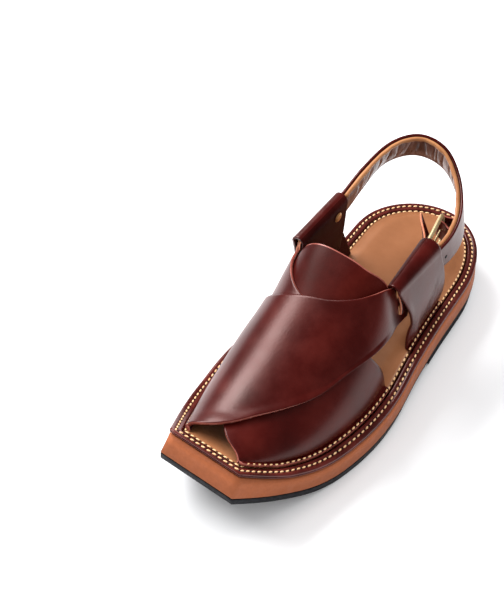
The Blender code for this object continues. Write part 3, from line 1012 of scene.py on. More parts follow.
@dataclass
class Upper:
    """Two crossed panels and the tongue under them."""

    foot: FootForm
    finishes: Finishes
    wall: float = 0.0020
    step: float = 0.0026
    step_low: Span = (0.0, 0.12)
    step_rear: Span = (0.46, 0.52)
    edge_lift: float = 0.0008
    lift_front: Span = (0.0, 0.16)
    lift_low: Span = (0.10, 0.40)
    lift_high: Span = (0.86, 0.94)
    tongue_wall: float = 0.0018
    tongue_gap: float = 0.0009
    tongue_middle: float = 0.52
    tongue_wing: float = 0.024
    wing_low: Span = (0.20, 0.42)
    # Faces past this share of the tongue take the edge finish: a painted highlight along its rear
    # edge.
    tongue_highlight_lip: float = 0.90
    crossing_shift: float = 0.04
    flange_share: float = 0.06
    corner_reach: float = 0.007
    corner_fade: Span = (0.12, 0.32)
    panel_steps: tuple[int, int] = (50, 36)
    tongue_steps: tuple[int, int] = (30, 40)
    panel: tuple[PanelRow, ...] = tuple(PanelRow(*row) for row in (
        (0.044, 0.00, 0.446, 0.00), (0.049, 0.08, 0.424, 0.08), (0.054, 0.18, 0.400, 0.18),
        (0.060, 0.32, 0.386, 0.32), (0.075, 0.44, 0.388, 0.44), (0.102, 0.53, 0.402, 0.55),
        (0.145, 0.60, 0.430, 0.64), (0.200, 0.675, 0.466, 0.715), (0.265, 0.745, 0.498, 0.770),
        (0.345, 0.789, 0.522, 0.810), (0.430, 0.854, 0.542, 0.840), (0.520, 0.934, 0.560, 0.876),
        (0.572, 0.962, 0.592, 0.925),
    ))
    tongue_rows: tuple[TongueRow, ...] = tuple(TongueRow(*row) for row in (
        (0.330, 0.100, 0.100), (0.350, 0.170, 0.170), (0.400, 0.230, 0.220),
        (0.440, 0.290, 0.245), (0.470, 0.315, 0.242), (0.488, 0.318, 0.222),
        (0.496, 0.310, 0.170),
    ))

    def __post_init__(self) -> None:
        """Number the panel's rows for reading between them."""
        last = len(self.panel) - 1
        self.numbered = tuple((i / last, *row) for i, row in enumerate(self.panel))

    def build(self) -> None:
        """Build both panels and the tongue."""
        self.one_panel(Side.LATERAL, "panel_lateral", 0.0)
        over = self.one_panel(Side.MEDIAL, "panel_medial", self.step)
        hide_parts("upper")
        self.tongue()

    def panel_point(self, side: Side, lift: float, u: float, k: float) -> Vector:
        """Return a point of a panel.

        Args:
            side: where the panel is sewn on.
            lift: how far it lies above the form where the two cross.
            u: 0 at its sewn edge to 1 at its tip.
            k: 0 at its front edge to 1 at its rear one.

        Returns:
            The point.
        """
        first = self.panel[0]
        if u < self.flange_share:
            share = mix(first.front_share, first.rear_share, k)
            if side is Side.LATERAL:
                share -= self.corner_reach * (1 - k)
            out = self.foot.sole.flange * (1 - u / self.flange_share)
            return self.foot.base(share, side.value, out=out)
        t = (u - self.flange_share) / (1 - self.flange_share)
        ends = [value_at(self.numbered, t, column) for column in (1, 2, 3, 4)]
        share = mix(ends[0], ends[2], k)
        over = mix(ends[1], ends[3], k)
        if side is Side.LATERAL:
            share -= self.corner_reach * (1 - k) * (1 - ease(*self.corner_fade, over))
        place = over if side is Side.LATERAL else 1 - over
        place += self.crossing_shift * math.sin(math.pi * place)
        above = lift * ease(*self.step_low, over) * (1 - ease(*self.step_rear, share))
        if side is Side.MEDIAL:
            free = (1 - ease(*self.lift_front, k)) * ease(*self.lift_low, over)
            above += self.edge_lift * free * (1 - ease(*self.lift_high, over))
        return self.foot.point(share, place, above)

    def one_panel(self, side: Side, name: str, lift: float) -> bpy.types.Object:
        """Build one panel.

        Args:
            side: where the panel is sewn on.
            name: its name.
            lift: how far it lies above the form where the two cross.

        Returns:
            The panel.
        """
        bm = sheet(*self.panel_steps, lambda u, k: self.panel_point(side, lift, u, k))
        outward(bm)
        # The rims take the edge finish: painted highlight on the panel's rounded edge.
        piece = settle(name, bm, [self.finishes.brown, self.finishes.edge], "brown_leather")
        thicken(piece, self.wall)
        return piece

    def tongue_point(self, u: float, k: float) -> Vector:
        """Return a point of the tongue.

        Args:
            u: 0 at its front to 1 at its round rear end.
            k: 0 to 1 across it.

        Returns:
            The point.
        """
        t = math.sin(0.5 * math.pi * u)
        share = mix(self.tongue_rows[0].share, self.tongue_rows[-1].share, t)
        half = value_at(self.tongue_rows, share, 1 if k < 0.5 else 2)
        over = self.tongue_middle + half * (2 * k - 1)
        share += self.tongue_wing * (1 - ease(*self.wing_low, over)) * t * t
        return self.foot.point(share, over, -self.tongue_wall - self.tongue_gap)

    def tongue(self) -> None:
        """Build the tongue."""
        # The lip and the rims take the edge finish: painted highlight on the tongue's edge.
        bm = sheet(*self.tongue_steps, self.tongue_point, lip=self.tongue_highlight_lip)
        outward(bm)
        materials = [self.finishes.shield, self.finishes.edge]
        piece = settle("tongue_shield", bm, materials, "brown_leather", "tongue")
        thicken(piece, self.tongue_wall)


# The straps at the back


class QuarterEnd(NamedTuple):
    """One upright edge of a quarter, in the solids' own shares."""

    base: float
    waist: float
    fold: float
    fold_x: float
    fold_top: float
    radius: float


class Crease(NamedTuple):
    """A soft trough on a quarter's wall, in its own places along and up it."""

    along_low: float
    along_high: float
    up_low: float
    up_high: float
    width: float
    depth: float


class StrapRow(NamedTuple):
    """Heel strap, from its lateral end to its medial end, in the solids' own shares."""

    share: float
    x: float
    place: float
    top: float


@dataclass
class Quarter:
    """A side strap, folded over the heel strap, and the strap layers in its fold."""

    foot: FootForm
    finishes: Finishes
    side: Side
    front: QuarterEnd
    rear: QuarterEnd
    flap: float
    creases: tuple[Crease, ...] = ()
    flap_return: float = 0.0
    return_start: float = 0.5
    wall: float = 0.0018
    bulge: float = 0.0034
    fold_radius: float = 0.0050
    strap_height: float = 0.0205
    flange_end: float = 0.07
    wall_end: float = 0.52
    fold_end: float = 0.78
    heart: Span = (0.030, 0.06)
    inward_normal: float = -0.35
    steps: tuple[int, int] = (54, 30)
    core_height: float = 0.0200
    core_pitch: float = 0.0015
    core_wall: float = 0.0012
    core_lean: float = 0.22
    core_span: Span = (0.03, 0.55)
    core_top: float = 0.0004
    core_setback: float = 0.0008
    core_waver: float = 0.0006
    core_rate: float = 6.0
    core_phase: float = 2.0
    core_heart: float = 0.010
    core_steps: tuple[int, int] = (8, 12)

    def fold_centre(self, t: float) -> Vector:
        """Return the middle of the fold.

        Args:
            t: 0 at the front edge to 1 at the rear edge.

        Returns:
            The point.
        """
        sole = self.foot.sole
        x = sole.ball_width * mix(self.front.fold_x, self.rear.fold_x, t)
        top = self.foot.instep * mix(self.front.fold_top, self.rear.fold_top, t)
        y = sole.y_at(mix(self.front.fold, self.rear.fold, t))
        return Vector((self.side.value * x, y, sole.footbed(1.0) + top))

    def point(self, u: float, t: float) -> Vector:
        """Return a point of the sheet.

        Args:
            u: 0 at its sewn edge to 1 at the flap's end.
            t: 0 at the front edge to 1 at the rear edge.

        Returns:
            The point.
        """
        sole = self.foot.sole
        sign = self.side.value
        share = mix(self.front.base, self.rear.base, t)
        if u < self.flange_end:
            return self.foot.base(share, sign, out=sole.flange * (1 - u / self.flange_end))
        base = self.foot.base(share, sign)
        fold = self.fold_centre(t)
        radius = self.fold_radius * mix(self.front.radius, self.rear.radius, t) - self.wall
        if u < self.wall_end:
            k = (u - self.flange_end) / (self.wall_end - self.flange_end)
            waist = sole.y_at(mix(self.front.waist, self.rear.waist, t))
            y = base.y * (1 - k) ** 2 + 2 * waist * k * (1 - k) + fold.y * k * k
            reach = mix(abs(base.x), abs(fold.x) + radius, k)
            x = reach + self.bulge * math.sin(math.pi * k) + self.relief(t, k)
            return Vector((sign * x, y, mix(base.z, fold.z, k)))
        if u < self.fold_end:
            angle = math.pi * (u - self.wall_end) / (self.fold_end - self.wall_end)
            x = abs(fold.x) + radius * math.cos(angle)
            return Vector((sign * x, fold.y, fold.z + radius * math.sin(angle)))
        k = (u - self.fold_end) / (1 - self.fold_end)
        drop = self.strap_height * self.flap * k
        x = abs(fold.x) - radius + self.flap_return * radius * ease(self.return_start, 1.0, k)
        return Vector((sign * x, fold.y, fold.z - drop))

    def relief(self, t: float, k: float) -> float:
        """Return how far the creases push the wall out or in.

        Args:
            t: 0 at the front edge to 1 at the rear edge.
            k: 0 at the wall's foot to 1 at its top.

        Returns:
            The distance, out if positive.
        """
        total = 0.0
        for crease in self.creases:
            run = (k - crease.up_low) / (crease.up_high - crease.up_low)
            if not 0 <= run <= 1:
                continue
            middle = mix(crease.along_low, crease.along_high, run)
            away = (t - middle) / crease.width
            total -= crease.depth * math.sin(math.pi * run) * math.exp(-away * away)
        return total

    def build(self) -> None:
        """Build the quarter, its faces towards the foot matt and darker as painted shade, and its
        core.
        """
        sign = self.side.value
        name = f"quarter_{self.side.name.lower()}"
        bm = sheet(*self.steps, self.point)
        outward(bm, (sign * self.heart[0], 0.0, self.heart[1]))
        # Faces turned towards the foot take the inner finish: matt, and darker as painted shade.
        for face in bm.faces:
            if face.normal.x * sign < self.inward_normal:
                face.material_index = LeatherFace.OTHER.value
        materials = [self.finishes.brown, self.finishes.inner]
        piece = settle(f"{name}_leather", bm, materials, "brown_leather", name)
        thicken(piece, self.wall, rim=LeatherFace.GRAIN, inside=LeatherFace.OTHER)
        self.core(name)

    def core(self, name: str) -> None:
        """Build the layers of strap that show in the fold's front mouth.

        Args:
            name: the quarter's name.
        """
        sign = self.side.value
        strap = [self.finishes.brown, self.finishes.raw_edge]
        for number, materials in enumerate((strap, [self.finishes.piping] * 2, strap)):

            def place(t: float, k: float) -> Vector:
                """Return a point of one layer.

                Args:
                    t: 0 to 1 along it.
                    k: 0 to 1 down it.

                Returns:
                    The point.
                """
                fold = self.fold_centre(mix(*self.core_span, t))
                drop = self.core_height * k
                waver = self.core_waver * math.sin(self.core_rate * k + self.core_phase * number)
                x = abs(fold.x) + (number - 1) * self.core_pitch + self.core_lean * drop + waver
                y = fold.y + self.core_setback * number
                return Vector((sign * x, y, fold.z + self.core_top - drop))

            bm = sheet(*self.core_steps, place)
            outward(bm, (sign * self.core_heart, 0.0, 0.0))
            piece = settle(f"{name}_layer_{number + 1}", bm, materials, "brown_leather")
            thicken(piece, self.core_wall, crease=CUT_EDGE)


class Pleat(NamedTuple):
    """A wrinkle across the strap's lining: place, width, depth and slant."""

    place: float
    width: float
    depth: float
    slant: float


class Wave(NamedTuple):
    """A small unevenness along the roll: height, rate and phase."""

    height: float
    rate: float
    phase: float


@dataclass
class HeelStrap:
    """Brown strap round the heel with a tan rolled edge and a wrinkled lining."""

    sole: SoleForm
    finishes: Finishes
    instep: float = 0.080
    height: float = 0.0205
    wall: float = 0.0018
    heel_middle: float = 0.75
    flare: float = 0.0042
    flare_front: Span = (0.08, 0.30)
    flare_rear: Span = (0.70, 0.90)
    roll: float = 0.0015
    roll_waves: tuple[Wave, ...] = (Wave(0.07, 61.0, 0.0), Wave(0.05, 143.0, 1.0))
    roll_drop: float = 1.05
    roll_reach: float = 1.15
    roll_sides: int = 14
    roll_steps: int = 120
    hole_place: float = 0.164
    hole_drop: float = 0.0125
    hole_size: float = 0.0026
    hole_depth: float = 0.0003
    hole_lift: float = 0.0001
    hole_ahead: float = 0.01
    hole_above: float = 0.002
    lining_wall: float = 0.0010
    lining_gap: float = 0.0002
    lining_start: float = 0.14
    lining_end: float = 0.92
    lining_tuck: float = 0.005
    lining_top: float = 0.0024
    lining_foot: float = 0.0008
    belly: float = 0.0010
    belly_rate: float = 1.15
    pleat_run: float = 0.03
    pleat_top: float = 0.35
    steps: tuple[int, int] = (110, 10)
    lining_steps: tuple[int, int] = (260, 12)
    pleats: tuple[Pleat, ...] = tuple(Pleat(*row) for row in (
        (0.300, 0.0080, 0.0006, 0.2), (0.345, 0.0060, 0.0008, -0.3), (0.385, 0.0050, 0.0008, 0.5),
        (0.425, 0.0045, 0.0010, 0.3), (0.452, 0.0040, 0.0011, -0.4), (0.480, 0.0035, 0.0013, 0.2),
        (0.520, 0.0045, 0.0009, 0.4), (0.546, 0.0028, 0.0016, 0.0), (0.558, 0.0028, 0.0012, 0.1),
        (0.592, 0.0040, 0.0010, -0.5), (0.622, 0.0045, 0.0008, 0.3), (0.655, 0.0050, 0.0009, 0.6),
        (0.690, 0.0045, 0.0008, -0.3), (0.725, 0.0055, 0.0008, 0.4), (0.765, 0.0060, 0.0007, -0.4),
        (0.815, 0.0070, 0.0006, 0.3), (0.860, 0.0070, 0.0005, -0.2),
    ))
    rows: tuple[StrapRow, ...] = tuple(StrapRow(*row) for row in (
        (0.00, 0.284, 0.617, 0.682), (0.10, 0.290, 0.683, 0.650), (0.20, 0.289, 0.757, 0.664),
        (0.32, 0.230, 0.829, 0.711), (0.42, 0.113, 0.884, 0.812), (0.52, -0.044, 0.915, 0.921),
        (0.62, -0.209, 0.906, 0.956), (0.72, -0.314, 0.852, 0.928), (0.84, -0.342, 0.757, 0.872),
        (0.92, -0.338, 0.676, 0.806), (1.00, -0.336, 0.611, 0.778),
    ))

    def plan(self, t: float) -> Vector:
        """Return a point of the strap's inner face in plan, t along it."""
        x = self.sole.ball_width * value_at(self.rows, t, 1)
        return Vector((x, self.sole.y_at(value_at(self.rows, t, 2))))

    def point(self, t: float, down: float, out: float) -> Vector:
        """Return a point of the strap.

        Args:
            t: along it, from its lateral end.
            down: distance below its top edge.
            out: distance outside its inner face.

        Returns:
            The point.
        """
        here = self.plan(t)
        step = 0.01
        top = self.sole.footbed(1.0) + self.instep * value_at(self.rows, t, 3)
        run = (self.plan(t + step) - self.plan(t - step)).normalized()
        fade = ease(*self.flare_front, t) * (1 - ease(*self.flare_rear, t))
        here += Vector((run.y, -run.x)) * (out + self.flare * down / self.height * fade)
        return Vector((here.x, here.y, top - down))

    def face_out(self, bm: bmesh.types.BMesh) -> None:
        """Turn a sheet of the strap so that its faces look away from the heel."""
        outward(bm, (0.0, self.sole.y_at(self.heel_middle), 0.0), axes=(1.0, 1.0, 1.0))

    def build(self) -> None:
        """Build the strap, its rolled edge, its lining and its hole."""
        materials = [self.finishes.brown, self.finishes.edge]
        bm = sheet(*self.steps, lambda t, k: self.point(t, self.height * k, 0.0))
        self.face_out(bm)
        strap = settle("heel_strap_leather", bm, materials, "brown_leather", "heel_strap")
        thicken(strap, self.wall, rim=LeatherFace.GRAIN)
        self.rolled_edge()
        self.lining()
        self.punched_hole()

    def rolled_edge(self) -> None:
        """Build the tan roll along the top of the lining."""
        loops = []
        for i in range(self.roll_steps + 1):
            t = mix(self.lining_start, self.lining_end, i / self.roll_steps)
            waves = sum(w.height * math.sin(w.rate * t + w.phase) for w in self.roll_waves)
            size = self.roll * (1 + waves)
            loop = []
            for j in range(self.roll_sides):
                angle = 2 * math.pi * j / self.roll_sides
                down = size * (self.roll_drop + self.roll_reach * math.cos(angle))
                out = -size - self.lining_gap + size * math.sin(angle)
                loop.append(self.point(t, down, out))
            loops.append(loop)
        materials = [self.finishes.piping]
        settle("lining_roll", loft(loops, caps=True), materials, "tan_leather", "strap_lining")

    def wrinkle(self, t: float, k: float) -> float:
        """Return how deep the wrinkles press into the lining.

        Args:
            t: place along the strap.
            k: 0 at the lining's top to 1 at its foot.

        Returns:
            The depth.
        """
        total = 0.0
        for pleat in self.pleats:
            away = (t - pleat.place - pleat.slant * self.pleat_run * (k - 0.5)) / pleat.width
            total += pleat.depth * math.exp(-away * away)
        return total * ease(0.0, self.pleat_top, k)

    def lining(self) -> None:
        """Build the wrinkled brown face below the roll."""
        start = self.lining_start + self.lining_tuck
        end = self.lining_end - self.lining_tuck

        def place(a: float, k: float) -> Vector:
            """Return a point of the lining's back face.

            Args:
                a: 0 to 1 along it.
                k: 0 to 1 down it.

            Returns:
                The point.
            """
            t = mix(start, end, a)
            down = mix(self.lining_top, self.height - self.lining_foot, k)
            belly = self.belly * math.sin(math.pi * min(k * self.belly_rate, 1.0))
            return self.point(t, down, -self.lining_gap - max(belly - self.wrinkle(t, k), 0.0))

        bm = sheet(*self.lining_steps, place)
        self.face_out(bm)
        bmesh.ops.reverse_faces(bm, faces=bm.faces)
        # The lining's streaky finish carries painted sheen, and its rims take the edge's painted
        # highlight.
        materials = [self.finishes.wrinkled, self.finishes.edge]
        piece = settle("strap_lining_leather", bm, materials, "brown_leather")
        thicken(piece, self.lining_wall)

    def punched_hole(self) -> None:
        """Build a flat dark disc on the strap's outer face for the prong's hole, its darkness
        painted shade.
        """
        out = self.wall + self.hole_lift
        here = self.point(self.hole_place, self.hole_drop, out)
        ahead = self.point(self.hole_place + self.hole_ahead, self.hole_drop, out)
        above = self.point(self.hole_place, self.hole_drop - self.hole_above, out)
        along = (ahead - here).normalized()
        face = along.cross(above - here).normalized()
        turn = Matrix((along, face.cross(along), face)).transposed().to_4x4()
        flat = Matrix.Diagonal((self.hole_size, self.hole_size, self.hole_depth, 1.0))
        matrix = Matrix.Translation(here) @ turn @ flat
        bm = bmesh.new()
        bmesh.ops.create_uvsphere(bm, u_segments=20, v_segments=8, radius=0.5, matrix=matrix)
        settle("punched_hole", bm, [self.finishes.hole], "brown_leather")


# Brass and the strap's end


@dataclass
class Buckle:
    """Brass frame and prong, the strap's end beside them, and the rivet."""

    lateral: Quarter
    medial: Quarter
    finishes: Finishes
    length: float = 0.030
    height: float = 0.022
    wire: float = 0.0030
    wire_sides: int = 14
    swing: float = 0.0058
    tilt: float = 0.0030
    lean: float = 0.0030
    corner: float = 0.0035
    corner_steps: int = 8
    prong_wire: float = 0.0018
    prong_tip: float = 0.7
    prong_steps: int = 12
    loop_reach: float = 0.0085
    loop_height: float = 0.0145
    loop_spread: float = 0.0052
    loop_gap: float = 0.0006
    loop_wall: float = 0.0012
    loop_bend: float = 0.3
    loop_steps: tuple[int, int] = (40, 8)
    from_fold: Point = (-0.0022, -0.0029, 0.0026)
    tail_from_fold: Point = (-0.0059, -0.0019, 0.0002)
    tail_length: float = 0.018
    tail_height: float = 0.021
    tail_wall: float = 0.0012
    tail_swing: float = 0.0135
    tail_bend: Span = (0.08, 1.10)
    tail_lean: float = 0.0135
    tail_rise: float = 0.008
    tail_steps: tuple[int, int] = (22, 14)
    tail_heart: Point = (0.0, 0.0, 0.07)
    rivet_radius: float = 0.0035
    rivet_height: float = 0.0011
    rivet_gap: float = 0.0003
    rivet_setback: float = 0.0106
    rivet_drop: float = 0.0055
    rivet_steps: int = 32
    rivet_profile: tuple[Span, ...] = (
        (0.0, 1.0), (0.35, 0.98), (0.65, 0.86), (0.88, 0.55), (1.0, 0.15), (1.0, 0.0), (0.0, 0.0),
    )

    def build(self) -> None:
        """Build the brass pieces and the strap's end."""
        front = self.lateral.fold_centre(1.0) + Vector(self.from_fold)
        rear = front + Vector((-self.swing, self.length, self.tilt))
        centre = (front + rear) / 2 - Vector((0, 0, self.height / 2))
        along = (rear - front).normalized()
        half = (rear - front).length / 2
        self.frame_wire(centre, along, half)
        self.prong(centre, along, half)
        self.loop(rear - Vector((0, 0, self.height / 2)))
        self.tail()
        self.rivet()

    def tube(self, path: list[Vector], radii: list[float], closed: bool) -> bmesh.types.BMesh:
        """Sweep a round section along a path.

        Args:
            path: its points, in order.
            radii: the section's radius at each.
            closed: whether the path's end meets its start.

        Returns:
            The bmesh.
        """
        count = len(path)
        loops = []
        for i, here in enumerate(path):
            before = path[i - 1] if closed or i else here
            after = path[(i + 1) % count] if closed or i < count - 1 else here
            run = (after - before).normalized()
            level = Vector((1, 0, 0)).cross(run).normalized()
            third = run.cross(level)
            angles = (2 * math.pi * j / self.wire_sides for j in range(self.wire_sides))
            loops.append([
                here + radii[i] * (level * math.cos(angle) + third * math.sin(angle))
                for angle in angles
            ])
        if closed:
            loops.append(loops[0])
        return loft(loops, caps=not closed)

    def frame_wire(self, centre: Vector, along: Vector, half: float) -> None:
        """Build the rectangular frame with round corners.

        Args:
            centre: the frame's middle.
            along: its direction, from its front bar to its rear one.
            half: half its length.
        """
        path = []
        for sign_a, sign_b, start in ((1, 1, 0), (-1, 1, 90), (-1, -1, 180), (1, -1, 270)):
            for step in range(self.corner_steps + 1):
                angle = math.radians(start + 90 * step / self.corner_steps)
                a = sign_a * (half - self.corner) + self.corner * math.cos(angle)
                b = sign_b * (self.height / 2 - self.corner) + self.corner * math.sin(angle)
                out = self.lean * (0.5 - b / self.height)
                path.append(centre + along * a + Vector((out, 0, b)))
        bm = self.tube(path, [self.wire / 2] * len(path), closed=True)
        settle("brass_frame", bm, [self.finishes.brass], "aged_brass", "buckle_frame")

    def prong(self, centre: Vector, along: Vector, half: float) -> None:
        """Build the prong, slimmer at its tip.

        Args:
            centre: the frame's middle.
            along: its direction, from its front bar to its rear one.
            half: half its length.
        """
        reach = half - self.wire / 2 - self.lateral.foot.sole.clearance
        middle = centre + Vector((self.lean / 2, 0, 0))
        shares = [i / self.prong_steps for i in range(self.prong_steps + 1)]
        path = [middle + along * mix(-reach, reach, share) for share in shares]
        radii = [self.prong_wire / 2 * mix(1.0, self.prong_tip, share) for share in shares]
        bm = self.tube(path, radii, closed=False)
        settle("brass_prong", bm, [self.finishes.brass], "aged_brass", "buckle_prong")

    def loop(self, bar: Vector) -> None:
        """Build the leather loop that holds the frame's rear bar to the strap.

        Args:
            bar: the middle of the rear bar.
        """
        radius = self.wire / 2 + self.loop_gap
        bar = bar + Vector((self.lean / 2, 0, 0))
        bend = self.loop_bend

        def place(u: float, k: float) -> Vector:
            """Return a point of the loop.

            Args:
                u: 0 to 1 along its path.
                k: 0 to 1 down it.

            Returns:
                The point.
            """
            if u < bend:
                x = mix(self.loop_reach, 0.0, u / bend)
                y = mix(self.loop_spread, radius, ease(0.0, 1.0, u / bend))
            elif u < 1 - bend:
                angle = math.pi * (u - bend) / (1 - 2 * bend)
                x = -radius * math.sin(angle)
                y = radius * math.cos(angle)
            else:
                run = (u - 1 + bend) / bend
                x = mix(0.0, self.loop_reach, run)
                y = mix(-radius, -self.loop_spread, ease(0.0, 1.0, run))
            return bar + Vector((x, y, self.loop_height * (0.5 - k)))

        bm = sheet(*self.loop_steps, place)
        bm.normal_update()
        if sum(face.normal.x for face in bm.faces if face.calc_center_median().x < bar.x) > 0:
            bmesh.ops.reverse_faces(bm, faces=bm.faces)
        # The loop's rims take the edge finish: painted highlight on its rounded edges.
        materials = [self.finishes.brown, self.finishes.edge]
        thicken(settle("buckle_loop", bm, materials, "brown_leather"), self.loop_wall)

    def tail(self) -> None:
        """Build the strap's end, its cut edges raw."""
        root = self.lateral.fold_centre(1.0) + Vector(self.tail_from_fold)

        def place(t: float, k: float) -> Vector:
            """Return a point of the tail's face.

            Args:
                t: 0 to 1 along it.
                k: 0 to 1 down it.

            Returns:
                The point.
            """
            x = root.x - self.tail_swing * ease(*self.tail_bend, t) + self.tail_lean * t * t * k
            z = root.z + self.tail_rise * t - self.tail_height * k
            return Vector((x, root.y + self.tail_length * t, z))

        bm = sheet(*self.tail_steps, place)
        outward(bm, self.tail_heart)
        materials = [self.finishes.brown, self.finishes.raw_edge]
        piece = settle("strap_tail_leather", bm, materials, "brown_leather", "strap_tail")
        thicken(piece, self.tail_wall, crease=CUT_EDGE)

    def rivet(self) -> None:
        """Turn the rivet's domed head."""
        fold = self.medial.fold_centre(1.0)
        x = fold.x + self.medial.fold_radius * self.medial.rear.radius + self.rivet_gap
        place = Vector((x, fold.y - self.rivet_setback, fold.z - self.rivet_drop))
        bm = bmesh.new()
        points = [
            bm.verts.new((0.0, self.rivet_radius * k, self.rivet_height * h))
            for k, h in self.rivet_profile
        ]
        for a, b in zip(points, points[1:]):
            bm.edges.new((a, b))
        bmesh.ops.spin(
            bm, geom=bm.verts[:] + bm.edges[:], cent=(0, 0, 0), axis=(0, 0, 1),
            angle=2 * math.pi, steps=self.rivet_steps, use_merge=True,
        )
        bmesh.ops.remove_doubles(bm, verts=bm.verts, dist=MERGE)
        turn = Matrix.Rotation(math.radians(90), 4, "Y")
        bmesh.ops.transform(bm, matrix=Matrix.Translation(place) @ turn, verts=bm.verts)
        bmesh.ops.recalc_face_normals(bm, faces=bm.faces)
        settle("brass_rivet", bm, [self.finishes.copper], "aged_brass", "rivet_medial")


# Stitches


class Cover(NamedTuple):
    """Stretch of the footbed's rim that leather lies on."""

    side: Side
    low: float
    high: float


@dataclass
class Stitching:
    """Two rows of lockstitches round the sole."""

    foot: FootForm
    finishes: Finishes
    pitch: float = 0.0041
    length: float = 0.0029
    width: float = 0.00122
    height: float = 0.0011
    slant: float = 0.16
    hole: Point = (0.55, 0.8, 0.35)
    outer_inset: float = 0.0036
    outer_level: float = 0.97
    inner_inset: float = 0.0100
    cover_wall: float = 0.0020
    bare_middle: float = 0.012
    covers: tuple[Cover, ...] = (
        Cover(Side.LATERAL, 0.0545, 0.444), Cover(Side.MEDIAL, 0.0590, 0.444),
        Cover(Side.LATERAL, 0.558, 0.719), Cover(Side.MEDIAL, 0.538, 0.705),
    )

    def build(self) -> None:
        """Build both rows."""
        sole = self.foot.sole
        welt_top = raised(sole.midsole_top, sole.clearance + sole.welt_height * self.outer_level)
        outer = sole.ring(sole.draft + self.outer_inset, welt_top)
        self.row("outer_stitches", outer, lambda point: 0.0)
        self.row("inner_stitches", sole.ring(self.inner_inset, sole.footbed), self.leather_under)

    def leather_under(self, point: Vector) -> float:
        """Return how much leather lies on the footbed under a stitch.

        Args:
            point: where the stitch would lie on the footbed.

        Returns:
            The height to add.
        """
        sole = self.foot.sole
        share = sole.share_at(point.y)
        if abs(point.x) > self.bare_middle:
            for side, low, high in self.covers:
                if side.value * point.x > 0 and low < share < high:
                    gap = self.foot.toe_gap * sole.toe_part(share)
                    return sole.clearance + self.cover_wall + gap
        return 0.0

    def row(self, name: str, path: list[Vector], lift: Callable[[Vector], float]) -> None:
        """Lay stitches and their holes along a closed path.

        Args:
            name: the row's name.
            path: its points, in order.
            lift: the height of what lies under a point.
        """
        closed = path + path[:1]
        runs = [(b - a).length for a, b in zip(closed, closed[1:])]
        total = sum(runs)
        count = round(total / self.pitch)
        threads = bmesh.new()
        holes = bmesh.new()
        index = 0
        passed = 0.0
        for number in range(count):
            for half, bm in ((0.5, threads), (1.0, holes)):
                goal = total * (number + half) / count
                while index < len(runs) - 1 and passed + runs[index] < goal:
                    passed += runs[index]
                    index += 1
                start, end = closed[index], closed[index + 1]
                here = start.lerp(end, (goal - passed) / runs[index])
                along = (end - start).normalized()
                self.bead(bm, here + Vector((0, 0, lift(here))), along, bm is threads)
        settle(name, threads, [self.finishes.thread], "tan_leather")
        # Each hole is a dark blob on the surface: painted shade of an awl hole.
        settle(f"{name}_holes", holes, [self.finishes.hole], "brown_leather")

    def bead(self, bm: bmesh.types.BMesh, here: Vector, along: Vector, thread: bool) -> None:
        """Add one stitch or one hole.

        Args:
            bm: the mesh that it joins.
            here: its middle.
            along: the row's direction there.
            thread: whether it is a stitch.
        """
        up = Vector((0, 0, 1))
        size = Vector((self.length, self.width, self.height))
        if thread:
            along = (along + up.cross(along).normalized() * self.slant).normalized()
        else:
            size *= Vector(self.hole)
        across = up.cross(along).normalized()
        turn = Matrix((along, across, along.cross(across))).transposed().to_4x4()
        matrix = Matrix.Translation(here) @ turn @ Matrix.Diagonal((*size, 1.0))
        if thread:
            bmesh.ops.create_uvsphere(bm, u_segments=8, v_segments=6, radius=0.5, matrix=matrix)
        else:
            bmesh.ops.create_icosphere(bm, subdivisions=1, radius=0.5, matrix=matrix)


# The studio


class Lamp(NamedTuple):
    """A soft rectangular light that looks at a point."""

    name: str
    place: Point
    target: Point
    size: Span
    power: float
    mirrored: bool


